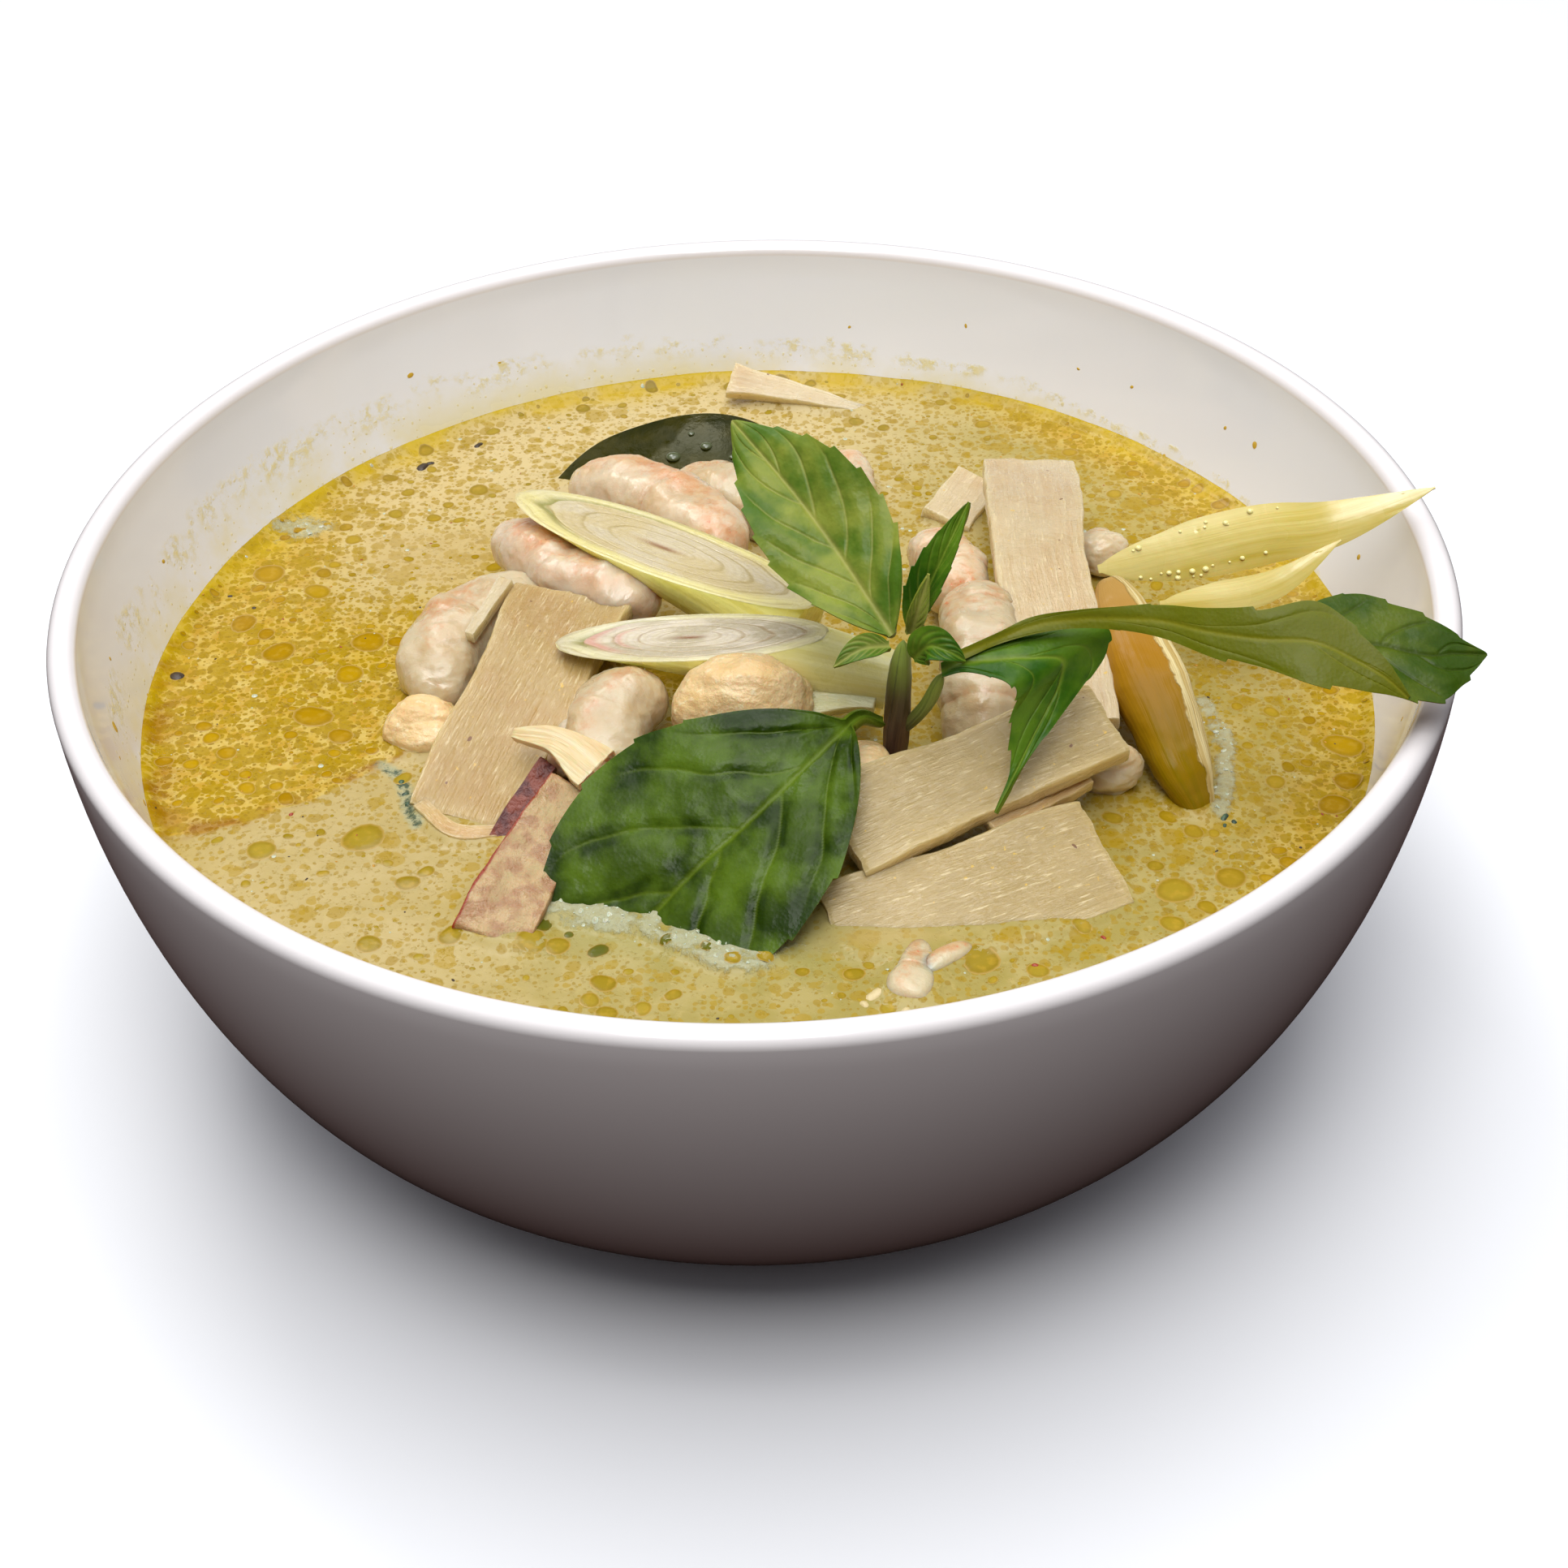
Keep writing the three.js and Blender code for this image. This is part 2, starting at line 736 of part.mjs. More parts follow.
    make: body({
      path: [[-11.4, -11.4, 55.4], [-16.4, -14.2, 55.6], [-18.2, -19.4, 54], [-16.4, -24.6, 51.6]],
      radius: 5.4,
      taper: [0.9, 1],
      segments: 4,
    }),
  },
  {
    name: "prawn_tail",
    look: PRAWN,
    make: body({
      path: [[-22.6, -15.2, 54.6], [-22.4, -18.6, 54], [-23.4, -22.6, 52.6]],
      radius: 2.2,
      flat: 0.7,
      sides: 8,
      steps: 7,
    }),
  },
  {
    name: "prawn_right",
    look: PRAWN,
    make: body({
      path: [[28.4, 5.6, 56.6], [27.6, -5.4, 57.6], [27.2, -15.6, 54.4], [26.8, -21, 50.6]],
      radius: 5.2,
      taper: [0.95, 1],
      segments: 4,
    }),
  },
  {
    name: "prawn_back_right",
    look: PRAWN,
    make: body({
      path: [[22.6, 22.4, 53.6], [25.6, 14.4, 54.8], [26.6, 7, 54.6]],
      radius: 4.4,
      taper: [0.9, 1],
      segments: 3,
    }),
  },
  {
    name: "prawn_back",
    look: PRAWN,
    make: chunk({ at: [12.8, 43.4, 50.8], size: [4.6, 5, 3.4], seed: 11 }),
  },
  {
    name: "prawn_beside_bamboo",
    look: PRAWN,
    make: chunk({ at: [46.6, 22.6, 51.2], size: [4, 3.8, 3.4], seed: 12 }),
  },
  {
    name: "prawn_under_bamboo",
    look: PRAWN,
    make: chunk({ at: [41.6, -24.6, 51.8], size: [3.2, 2.6, 3.6], seed: 13, detail: 1 }),
  },
  {
    name: "prawn_floating",
    look: PRAWN,
    make: joined(
      body({
        path: [[17.2, -49.6, 48.4], [16.8, -54.4, 48.6], [15, -60.2, 48.4]],
        radius: 3.1,
        taper: [0.5, 1],
        flat: 0.75,
        sides: 8,
        steps: 8,
      }),
      body({
        path: [[16.8, -56, 48.8], [20, -53.6, 49.2], [23.2, -51.6, 48.8]],
        radius: 1.4,
        sides: 6,
        steps: 5,
      }),
    ),
  },
  // The chicken and the fish
  {
    name: "chicken_centre",
    look: CHICKEN,
    make: chunk({ at: [-1.8, -16.6, 57], size: [8.6, 6.6, 6.4], turn: -0.1, seed: 21 }),
  },
  {
    name: "chicken_left",
    look: CHICKEN,
    make: chunk({ at: [-41.4, -9.4, 50], size: [4.9, 4.4, 3.6], seed: 22 }),
  },
  {
    name: "chicken_small",
    look: CHICKEN,
    make: chunk({ at: [11.8, -26.6, 53.4], size: [4.6, 4.2, 4.4], seed: 23 }),
  },
  {
    name: "fish_piece",
    look: CHICKEN,
    make: slice({
      rib: [[-22, -27.4, 53.4], [-26.6, -37.4, 51], [-31, -47.6, 47.6]],
      face: [[0.1, -0.3, 0.95]],
      width: [3, 4.8],
      thick: 4,
      wave: 0.5,
    }),
  },
  {
    name: "fish_skin",
    look: CHICKEN,
    make: slice({
      rib: [[-25, -22.6, 54], [-28, -26.4, 51.6], [-31, -30.6, 48.6]],
      face: [[0.2, -0.3, 0.93]],
      width: [1.1, 1.3],
      thick: 1.6,
      steps: [5, 2],
    }),
  },
  // The lime leaf
  {
    name: "lime_leaf",
    look: LIME,
    make: leaf({
      rib: [[-29.4, 46.2, 48.4], [-21.6, 50.6, 50.8], [-12, 50.4, 53], [-2.2, 48.8, 54], [7, 45.4, 52.4]],
      face: [[0, -0.3, 0.95]],
      width: [5.6, 5.6],
      widest: 0.6,
      fold: -0.12,
    }),
  },
];

// The largest body of a solid, without the scraps that a cut leaves.
const largest = (whole) => whole.decompose().reduce((a, b) => (b.volume() > a.volume() ? b : a));

// Whether the boxes round two solids meet.
function near(a, b) {
  const p = a.boundingBox();
  const q = b.boundingBox();
  return [0, 1, 2].every((k) => p.min[k] <= q.max[k] && q.min[k] <= p.max[k]);
}

// A named mesh of a solid.
function mesh(name, made, look) {
  const { vertProperties, triVerts } = made.getMesh();
  const geometry = new THREE.BufferGeometry();
  geometry.setAttribute("position", new THREE.BufferAttribute(new Float32Array(vertProperties), 3));
  geometry.setIndex(new THREE.BufferAttribute(new Uint32Array(triVerts), 1));
  geometry.computeVertexNormals();
  const object = new THREE.Mesh(geometry, look);
  object.name = name;
  return object;
}

const part = new THREE.Group();
part.add(mesh("bowl", bowl(), PORCELAIN));

// Each piece of food is laid where no earlier one is, and the curry fills what is left.
const laid = [];
function clear(made) {
  const rooms = laid.filter((room) => near(room, made));
  return rooms.reduce((left, room) => left.subtract(room), made);
}
for (const { name, look, make } of FOOD) {
  part.add(mesh(name, largest(clear(make(0))), look));
  laid.push(make(GAP));
}
part.add(mesh("curry", largest(clear(curry())), CURRY));

export default part;
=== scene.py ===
# %% [markdown]
# # A bowl of green curry
# A round porcelain bowl holds a pale coconut curry. Prawns, chicken, bamboo shoot and slices of
# lemongrass stand in it, and a sprig of basil crowns the heap and reaches over the rim.
# The lesson makes every piece as a surface worked out with numpy, because wet food is all about
# form: a leaf's puckers, a prawn's segments and the fibres of bamboo shoot have to catch the light.
# Sizes are in millimetres, and only the helper that hands a mesh to Blender turns them into metres.

import functools
import json
import math

import bmesh
import bpy
import numpy as np
from mathutils import Matrix, Vector

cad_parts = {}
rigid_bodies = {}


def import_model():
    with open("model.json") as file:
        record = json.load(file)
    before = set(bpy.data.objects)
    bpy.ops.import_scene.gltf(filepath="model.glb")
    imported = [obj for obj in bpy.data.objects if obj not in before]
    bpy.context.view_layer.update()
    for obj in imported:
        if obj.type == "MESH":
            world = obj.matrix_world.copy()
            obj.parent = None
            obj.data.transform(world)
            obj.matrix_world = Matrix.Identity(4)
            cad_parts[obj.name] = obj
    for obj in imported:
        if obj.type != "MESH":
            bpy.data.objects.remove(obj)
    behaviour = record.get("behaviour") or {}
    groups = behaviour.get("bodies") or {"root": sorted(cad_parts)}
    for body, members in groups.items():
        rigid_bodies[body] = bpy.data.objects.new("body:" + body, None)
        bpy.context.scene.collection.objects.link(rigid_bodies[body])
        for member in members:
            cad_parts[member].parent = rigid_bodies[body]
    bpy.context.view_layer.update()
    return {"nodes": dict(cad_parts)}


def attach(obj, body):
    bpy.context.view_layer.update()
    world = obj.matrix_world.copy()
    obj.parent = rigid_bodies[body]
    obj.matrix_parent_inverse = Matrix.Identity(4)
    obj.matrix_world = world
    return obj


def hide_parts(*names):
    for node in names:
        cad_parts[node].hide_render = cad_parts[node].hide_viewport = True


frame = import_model()
MM = 0.001

# %% [markdown]
# ## The camera
# The bowl is seen from a seated eye: 240 mm above the table and 260 mm in front of the bowl,
# looking down by 39 degrees. The lens is a short telephoto, so that the rim is a wide ellipse.

# %% The camera
CAMERA_AT = (0.0, -262.3, 241.2)
CAMERA_HEADING = 0.68  # degrees to the right of +Y
CAMERA_DIP = 38.61
CAMERA_ROLL = 1.24
LENS = 58.74

camera = bpy.data.objects.new("camera", bpy.data.cameras.new("camera"))
bpy.context.scene.collection.objects.link(camera)
camera.data.lens = LENS
camera.data.sensor_width = 36
camera.data.clip_start = 0.01
camera.matrix_world = (
    Matrix.Translation(Vector(CAMERA_AT) * MM)
    @ Matrix.Rotation(math.radians(-CAMERA_HEADING), 4, "Z")
    @ Matrix.Rotation(math.radians(90 - CAMERA_DIP), 4, "X")
    @ Matrix.Rotation(math.radians(-CAMERA_ROLL), 4, "Z")
)
bpy.context.scene.camera = camera
bpy.context.scene.view_settings.view_transform = "Standard"
print("camera at", CAMERA_AT)

# %% [markdown]
# ## Numbers that curves and surfaces need
# A path is a smooth curve through a few chosen points. Reading it at equal shares of its length
# keeps a pattern even along it. The frame of a path tells at each point which way is along, which
# way the piece looks, and which way is its side, so that a leaf or a slice can be laid on it.

# %% Paths and their frames
def listed(values, u):
    """Reads a short list at shares u of it, running evenly from each entry to the next."""
    values = np.asarray(values, float)
    places = np.linspace(0, 1, len(values)) if len(values) > 1 else np.zeros(1)
    if values.ndim == 1:
        return np.interp(u, places, values)
    return np.stack([np.interp(u, places, column) for column in values.T], -1)


def path(points, u, even=True):
    """A centripetal Catmull-Rom curve through the points. Between two neighbours it is a cubic whose
    slopes weigh the steps on both sides by the square root of their lengths. Returns the places at
    shares u of the curve's length, the unit directions there, and the length. Where even is False,
    u counts the given points instead, so that two such curves keep their points side by side."""
    p = np.asarray(points, float)
    p = np.vstack([2 * p[0] - p[1], p, 2 * p[-1] - p[-2]])
    step = np.linalg.norm(np.diff(p, axis=0), axis=1, keepdims=True) ** 0.5
    x0, x1, x2, x3 = p[:-3], p[1:-2], p[2:-1], p[3:]
    d0, d1, d2 = step[:-2], step[1:-1], step[2:]
    start = ((x1 - x0) / d0 - (x2 - x0) / (d0 + d1) + (x2 - x1) / d1) * d1
    end = ((x2 - x1) / d1 - (x3 - x1) / (d1 + d2) + (x3 - x2) / d2) * d1

    def at(t):
        i = np.minimum((t * len(x1)).astype(int), len(x1) - 1)
        w = (t * len(x1) - i)[:, None]
        a, b = start[i], end[i]
        square = 3 * (x2 - x1)[i] - 2 * a - b
        cube = 2 * (x1 - x2)[i] + a + b
        return x1[i] + w * (a + w * (square + w * cube)), a + w * (2 * square + 3 * w * cube)

    ticks = np.linspace(0, 1, 401)
    run = np.linalg.norm(np.diff(at(ticks)[0], axis=0), axis=1)
    run = np.concatenate([[0], np.cumsum(run)])
    place, along = at(np.interp(u * run[-1], run, ticks) if even else np.asarray(u, float))
    return place, along / np.linalg.norm(along, axis=1, keepdims=True), run[-1]


def frames(points, faces, u):
    """The path at u with its frame: place, along, up and side. Up is the listed face made square to
    along, and side is along times up."""
    place, along, length = path(points, u)
    up = listed(faces, u)
    up = up - along * np.sum(up * along, axis=1, keepdims=True)
    up = up / np.linalg.norm(up, axis=1, keepdims=True)
    return place, along, up, np.cross(along, up), length


def noise(points, size, seed=0, octaves=3):
    """Random numbers from about -1 to 1 on the corners of a lattice with cells `size` wide, blended
    smoothly in between. Each further octave has cells half as wide and half the strength."""
    table = np.random.default_rng(seed).uniform(-1, 1, 8192)
    total = 0
    for k in range(octaves):
        place = np.asarray(points) * 2**k / np.asarray(size) + 31.7 * k
        cell = np.floor(place).astype(np.int64)
        w = place - cell
        w = w * w * (3 - 2 * w)
        for corner in np.ndindex(2, 2, 2):
            x, y, z = np.moveaxis(cell + corner, -1, 0)
            number = table[(x * 73856093 ^ y * 19349663 ^ z * 83492791) % 8192]
            total = total + number * np.prod(np.where(corner, w, 1 - w), axis=-1) / 2**k
    return total


def on_plane(x, y):
    """Points with z 0, as a place for noise on the surface."""
    return np.stack([x, y, 0 * x], -1)


def bell(x, width):
    """1 where x is 0, falling off smoothly over the width."""
    return np.exp(-((x / width) ** 2))


def smooth(x, low, high):
    """0 up to low and 1 from high on, with a soft S between them."""
    t = np.clip((x - low) / (high - low), 0, 1)
    return t * t * (3 - 2 * t)


print("a test path is", round(path([[0, 0, 0], [10, 0, 0], [10, 10, 0]], np.zeros(1))[2], 2), "mm long")

# %% [markdown]
# ## From arrays to a mesh
# Every piece starts as a skin: an array of points, an array of four-cornered faces, and fields,
# which are values for each point that a material can read, such as how near a leaf's vein is.
# A grid gives the faces for free. Rolling the last column round to the first closes a tube, and
# merging points that fall together closes the poles, after which the faces are turned outwards.

# %% Skins and pieces
def grid_faces(rows, columns):
    """Faces between neighbours of a grid stored row by row, its last column joined to its first."""
    i = np.arange(rows - 1)[:, None] * columns
    j = np.arange(columns)[None, :]
    k = (j + 1) % columns
    return np.stack([i + j, i + k, i + columns + k, i + columns + j], -1).reshape(-1, 4)


def skin(points, caps=False, **fields):
    """A skin from a grid of points. caps closes the two ends of a flat tube by a ladder between the
    upper and the lower half of its first and last ring."""
    rows, columns = points.shape[:2]
    faces = grid_faces(rows, columns)
    if caps:
        j = np.arange(columns // 2 - 1)
        ladder = np.stack([j + 1, j, columns - 1 - j, columns - 2 - j], -1)
        faces = np.vstack([faces, ladder, ladder + (rows - 1) * columns])
    full = {
        name: np.broadcast_to(values, (rows, columns) + np.shape(values)[2:]).reshape(rows * columns, -1)
        for name, values in fields.items()
    }
    return {"points": points.reshape(-1, 3), "faces": faces, "fields": full}


def join(*skins):
    """Several skins as one."""
    starts = np.cumsum([0] + [len(s["points"]) for s in skins])
    return {
        "points": np.vstack([s["points"] for s in skins]),
        "faces": np.vstack([s["faces"] + start for s, start in zip(skins, starts)]),
        "fields": {
            name: np.vstack([s["fields"][name] for s in skins]) for name in skins[0]["fields"]
        },
    }


def piece(name, made, material, nodes=(), sharp=55):
    """Hands a skin to Blender as an object that rides on the bowl. It stands for the solids in
    `nodes`. Edges sharper than `sharp` degrees stay crisp."""
    mesh = bpy.data.meshes.new(name)
    mesh.vertices.add(len(made["points"]))
    mesh.vertices.foreach_set("co", (made["points"] * MM).astype(np.float32).ravel())
    mesh.loops.add(made["faces"].size)
    mesh.loops.foreach_set("vertex_index", made["faces"].astype(np.int32).ravel())
    mesh.polygons.add(len(made["faces"]))
    mesh.polygons.foreach_set("loop_start", np.arange(0, made["faces"].size, 4, dtype=np.int32))
    mesh.update(calc_edges=True)
    for label, values in made["fields"].items():
        kind, key = ("FLOAT_VECTOR", "vector") if values.shape[1] == 3 else ("FLOAT", "value")
        mesh.attributes.new(label, kind, "POINT").data.foreach_set(key, values.astype(np.float32).ravel())
    work = bmesh.new()
    work.from_mesh(mesh)
    bmesh.ops.remove_doubles(work, verts=work.verts, dist=2e-7)
    bmesh.ops.recalc_face_normals(work, faces=work.faces)
    work.to_mesh(mesh)
    work.free()
    mesh.shade_smooth()
    mesh.set_sharp_from_angle(angle=math.radians(sharp))
    mesh.materials.append(material)
    thing = bpy.data.objects.new(name, mesh)
    bpy.context.scene.collection.objects.link(thing)
    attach(thing, "root")
    if nodes:
        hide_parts(*nodes)
    print(name, "has", len(mesh.polygons), "faces")


# %% [markdown]
# ## Wiring materials
# Shader nodes read best as a formula, so a small class adds a node and gives back its output,
# and calls nest. Colours are named as they are seen in a picture, from 0 to 255.

# %% Helpers for shader nodes
def seen(r, g, b):
    """A colour as seen in a picture, made linear for the shaders."""
    c = np.array([r, g, b]) / 255
    linear = np.where(c <= 0.04045, c / 12.92, ((c + 0.055) / 1.055) ** 2.4)
    return (*map(float, linear), 1.0)


class Wires:
    """Adds nodes to one tree. A value may be a number, a colour or another node's output."""

    def __init__(self, tree):
        self.tree = tree

    def feed(self, made, inputs):
        """Links or sets each of the node's inputs, and gives back its outputs."""
        for name, value in inputs.items():
            if isinstance(value, bpy.types.NodeSocket):
                self.tree.links.new(value, made.inputs[name])
            else:
                made.inputs[name].default_value = value
        return made.outputs

    def add(self, kind, inputs, output=0, **settings):
        made = self.tree.nodes.new("ShaderNode" + kind)
        for name, value in settings.items():
            setattr(made, name, value)
        return self.feed(made, inputs)[output]

    def use(self, shared, inputs):
        """Puts a shared group into this tree and gives back its outputs by name."""
        made = self.tree.nodes.new("ShaderNodeGroup")
        made.node_tree = shared
        return self.feed(made, inputs)

    def math(self, operation, a, b=0.0):
        return self.add("Math", {0: a, 1: b}, operation=operation)

    def times(self, *factors):
        return functools.reduce(lambda a, b: self.math("MULTIPLY", a, b), factors)

    def plus(self, *terms):
        return functools.reduce(lambda a, b: self.math("ADD", a, b), terms)

    def step(self, value, low, high):
        """0 up to low and 1 from high on. With high under low it runs the other way."""
        inputs = {"Value": value, "From Min": low, "From Max": high}
        return self.add("MapRange", inputs, interpolation_type="SMOOTHSTEP")

    def mix(self, share, a, b):
        """From colour a to colour b. Each is an output, a linear colour, or a triple as seen."""
        a, b = (seen(*c) if isinstance(c, tuple) and len(c) == 3 else c for c in (a, b))
        return self.add("Mix", {0: share, 6: a, 7: b}, 2, data_type="RGBA")

    def noise(self, place, scale, detail=3.0, roughness=0.5):
        inputs = {"Vector": place, "Scale": scale, "Detail": detail, "Roughness": roughness}
        return self.add("TexNoise", inputs, "Fac")

    def field(self, name, output="Fac"):
        return self.add("Attribute", {}, output, attribute_name=name)

    def place(self):
        return self.add("TexCoord", {}, "Object")

    def part(self, vector, axis):
        return self.add("SeparateXYZ", {0: vector}, axis)

    def bump(self, height, depth, strength=1.0):
        """A relief of that depth in millimetres for heights from 0 to 1."""
        return self.add("Bump", {"Height": height, "Distance": depth * MM, "Strength": strength})

    def mottled(self, place, scale, one, other, low=0.4, high=0.6):
        """Two colours in soft blotches, by the shared group."""
        inputs = {"Vector": place, "Scale": scale, "One": seen(*one), "Other": seen(*other)}
        return self.use(mottle, inputs | {"Low": low, "High": high})["Color"]

    def moist(self, place, scale, dull=0.45):
        return self.use(wet, {"Vector": place, "Scale": scale, "Dull": dull})

    def strands(self, grain, width, run):
        return self.use(fibres, {"Grain": grain, "Width": width, "Run": run})

    def beaded(self, place, cell, size, share):
        return self.use(beads, {"Vector": place, "Cell": cell, "Size": size, "Share": share})


def group(name, inputs, outputs):
    """A new shader group: its wires, its inputs by name, and a function that connects an output."""
    tree = bpy.data.node_groups.new(name, "ShaderNodeTree")
    for label, value in inputs.items():
        kind = "NodeSocket" + {1: "Float", 3: "Vector", 4: "Color"}[np.size(value)]
        tree.interface.new_socket(name=label, in_out="INPUT", socket_type=kind).default_value = value
    for label in outputs:
        kind = "NodeSocketColor" if label == "Color" else "NodeSocketFloat"
        tree.interface.new_socket(name=label, in_out="OUTPUT", socket_type=kind)
    start, end = tree.nodes.new("NodeGroupInput"), tree.nodes.new("NodeGroupOutput")
    return tree, Wires(tree), start.outputs, lambda label, value: tree.links.new(value, end.inputs[label])


def material(name, **constants):
    """A material with one Principled shader. A constant such as Coat_Weight sits on its own socket.
    Returns the material, its wires, and a function that connects a socket of the shader."""
    made = bpy.data.materials.new(name)
    made.use_nodes = True
    shader = made.node_tree.nodes["Principled BSDF"]
    for socket, value in constants.items():
        shader.inputs[socket.replace("_", " ")].default_value = value
    wire = lambda label, value: made.node_tree.links.new(value, shader.inputs[label])
    return made, Wires(made.node_tree), wire


# %% [markdown]
# ## Effects that several finishes share
# Four things come back all over this dish: round beads of oil, a mottled tone, the fine wet relief
# that makes moist food glint, and fibres. Each is one node group, placed with its own values.

# %% Beads of oil
# Voronoi cells give each bead its own centre and random size: a bead is where the distance to the
# centre is under its radius. Its height is a dome, 1 less the square of that distance over the radius.
# A little noise in the place sways the outlines, so that no bead is a perfect disc.
beads, w, given, give = group(
    "beads", {"Vector": (0, 0, 0), "Cell": 2.0, "Size": 0.4, "Share": 0.5}, ["Mask", "Dome", "Tone"]
)
density = w.math("DIVIDE", 1000.0, given["Cell"])
cell = w.tree.nodes.new("ShaderNodeTexVoronoi")
cell.voronoi_dimensions = "2D"
sway = w.add("TexNoise", {"Vector": given["Vector"], "Scale": w.times(density, 1.4)}, "Color")
sway = w.add("VectorMath", {0: sway, "Scale": w.times(given["Cell"], 0.0004)}, operation="SCALE")
swayed = w.add("VectorMath", {0: given["Vector"], 1: sway}, operation="ADD")
w.tree.links.new(swayed, cell.inputs["Vector"])
w.tree.links.new(density, cell.inputs["Scale"])
cell.inputs["Randomness"].default_value = 0.85
lot = w.add("SeparateColor", {"Color": cell.outputs["Color"]}, "Red")
chance = w.add("SeparateColor", {"Color": cell.outputs["Color"]}, "Green")
radius = w.times(given["Size"], w.plus(w.times(lot, lot, 0.75), 0.3))
inner = w.math("DIVIDE", cell.outputs["Distance"], radius)
there = w.math("LESS_THAN", chance, given["Share"])
give("Mask", w.times(w.step(inner, 1.0, 0.82), there))
give("Dome", w.times(w.math("MAXIMUM", w.math("SUBTRACT", 1.0, w.times(inner, inner)), 0.0), there))
give("Tone", w.times(lot, there))

# %% Mottling, wet relief and fibres
mottle, w, given, give = group(
    "mottle",
    {"Vector": (0, 0, 0), "Scale": 200.0, "One": (1, 1, 1, 1), "Other": (0, 0, 0, 1), "Low": 0.4, "High": 0.6},
    ["Color"],
)
tone = w.noise(given["Vector"], given["Scale"], 4.0, 0.55)
give("Color", w.mix(w.step(tone, given["Low"], given["High"]), given["One"], given["Other"]))

wet, w, given, give = group(
    "wet relief", {"Vector": (0, 0, 0), "Scale": 900.0, "Dull": 0.45}, ["Height", "Roughness"]
)
coarse = w.noise(given["Vector"], given["Scale"], 4.0, 0.6)
pools = w.noise(given["Vector"], w.times(given["Scale"], 0.2), 2.0, 0.5)
give("Height", coarse)
give("Roughness", w.times(given["Dull"], w.plus(w.step(pools, 0.35, 0.65), 0.45)))

fibres, w, given, give = group(
    "fibres", {"Grain": (0, 0, 0), "Width": 0.5, "Run": 12.0}, ["Height", "Streak"]
)
thinner = {0: w.math("DIVIDE", 1.0, given["Run"]), 1: w.math("DIVIDE", 1.0, given["Width"]), 2: 1.0}
squeezed = w.add("VectorMath", {0: given["Grain"], 1: w.add("CombineXYZ", thinner)}, operation="MULTIPLY")
give("Height", w.noise(squeezed, 1.0, 3.0, 0.6))
give("Streak", w.noise(squeezed, 0.35, 3.0, 0.6))
print("shared effects:", [g.name for g in bpy.data.node_groups])

# %% [markdown]
# ## The bowl
# A bowl is thrown or pressed round an axis, so its mesh is a profile carried round the Z axis. The
# walls follow a power of the depth that bends in quickly near the foot, and the lip is half round.
# White glaze is nearly a mirror, so the soft light itself draws the bright line along the lip.

# %% The bowl's profile
BOWL_RADIUS, BOWL_HEIGHT, LIP = 85.0, 68.0, 1.6
FOOT_RADIUS, FOOT_HEIGHT, FOOT_WIDTH, RECESS = 38.0, 4.2, 3.5, 3.0
FLOOR_RADIUS, FLOOR_HEIGHT = 33.0, 9.0
LEVEL = 49.0  # the surface of the curry


def outer_wall(t):
    """Radius at a share t of the depth: a blend from foot to rim by (1 - t^1.71)^0.37."""
    return FOOT_RADIUS + 1 + (BOWL_RADIUS - FOOT_RADIUS - 1) * (1 - t**1.71) ** 0.37


def inner_wall(t):
    """The same for the inside, by (1 - t^1.1)^0.33."""
    return FLOOR_RADIUS + (BOWL_RADIUS - 2 * LIP - FLOOR_RADIUS) * (1 - t**1.1) ** 0.33


def wall(radius, depth, steps):
    """Points down a wall from just under the lip, closer together where it turns in."""
    first = LIP / depth
    t = first + (1 - first) * (1 - (1 - np.linspace(0, 1, steps)) ** 2.2)
    return np.stack([radius(np.minimum(t, 1)), BOWL_HEIGHT - depth * t], -1)


def carried_round(profile, columns):
    """A profile of [radius, height] carried round the Z axis: (r cos a, r sin a, z)."""
    a = np.linspace(0, 2 * np.pi, columns, endpoint=False)
    r, z = profile[:, :1], profile[:, 1:]
    return np.stack([r * np.cos(a), r * np.sin(a), z + 0 * a], -1)


outside = wall(outer_wall, BOWL_HEIGHT - FOOT_HEIGHT, 46)[::-1]
inside = wall(inner_wall, BOWL_HEIGHT - FLOOR_HEIGHT, 40)
lip_middle = (outside[-1, 0] + inside[0, 0]) / 2
lip_half = (outside[-1, 0] - inside[0, 0]) / 2
turn = np.radians(np.arange(10, 180, 10))
lip = np.stack([lip_middle + lip_half * np.cos(turn), BOWL_HEIGHT - LIP * (1 - np.sin(turn))], -1)
foot = np.array([
    [0, RECESS], [FOOT_RADIUS - FOOT_WIDTH - 1, RECESS], [FOOT_RADIUS - FOOT_WIDTH - 0.7, 0.8],
    [FOOT_RADIUS - FOOT_WIDTH, 0], [FOOT_RADIUS, 0], [FOOT_RADIUS + 0.2, 0.6],
])
bowl_profile = np.vstack([foot, outside, lip, inside, [[0, FLOOR_HEIGHT]]])
bowl_points = carried_round(bowl_profile, 300)
print("the bowl's profile has", len(bowl_profile), "points")

# %% [markdown]
# The curry has sloshed up the wall while the bowl was carried, and left a thin band of scum: 9 mm
# high at the left, thinner round the back, gone at the right. How high it reaches is a field that
# depends on the angle alone, and noise in the material frays it into specks and smears.

# %% The glaze, with the band that the curry left
SCUM_ANGLES = [-180, -165, -150, -100, 0, 40, 62, 90, 120, 150, 180]
SCUM_HEIGHTS = [9.0, 8.5, 6.0, 0.8, 0.8, 2.0, 4.0, 5.2, 7.0, 9.0, 9.0]
WALL_RADIUS = 78.0  # where the band lies
angles = np.degrees(np.arctan2(bowl_points[..., 1], bowl_points[..., 0]))
scum = np.interp(angles, SCUM_ANGLES, SCUM_HEIGHTS)
within = (np.arange(len(bowl_profile)) > len(bowl_profile) - len(inside) - 2)[:, None]

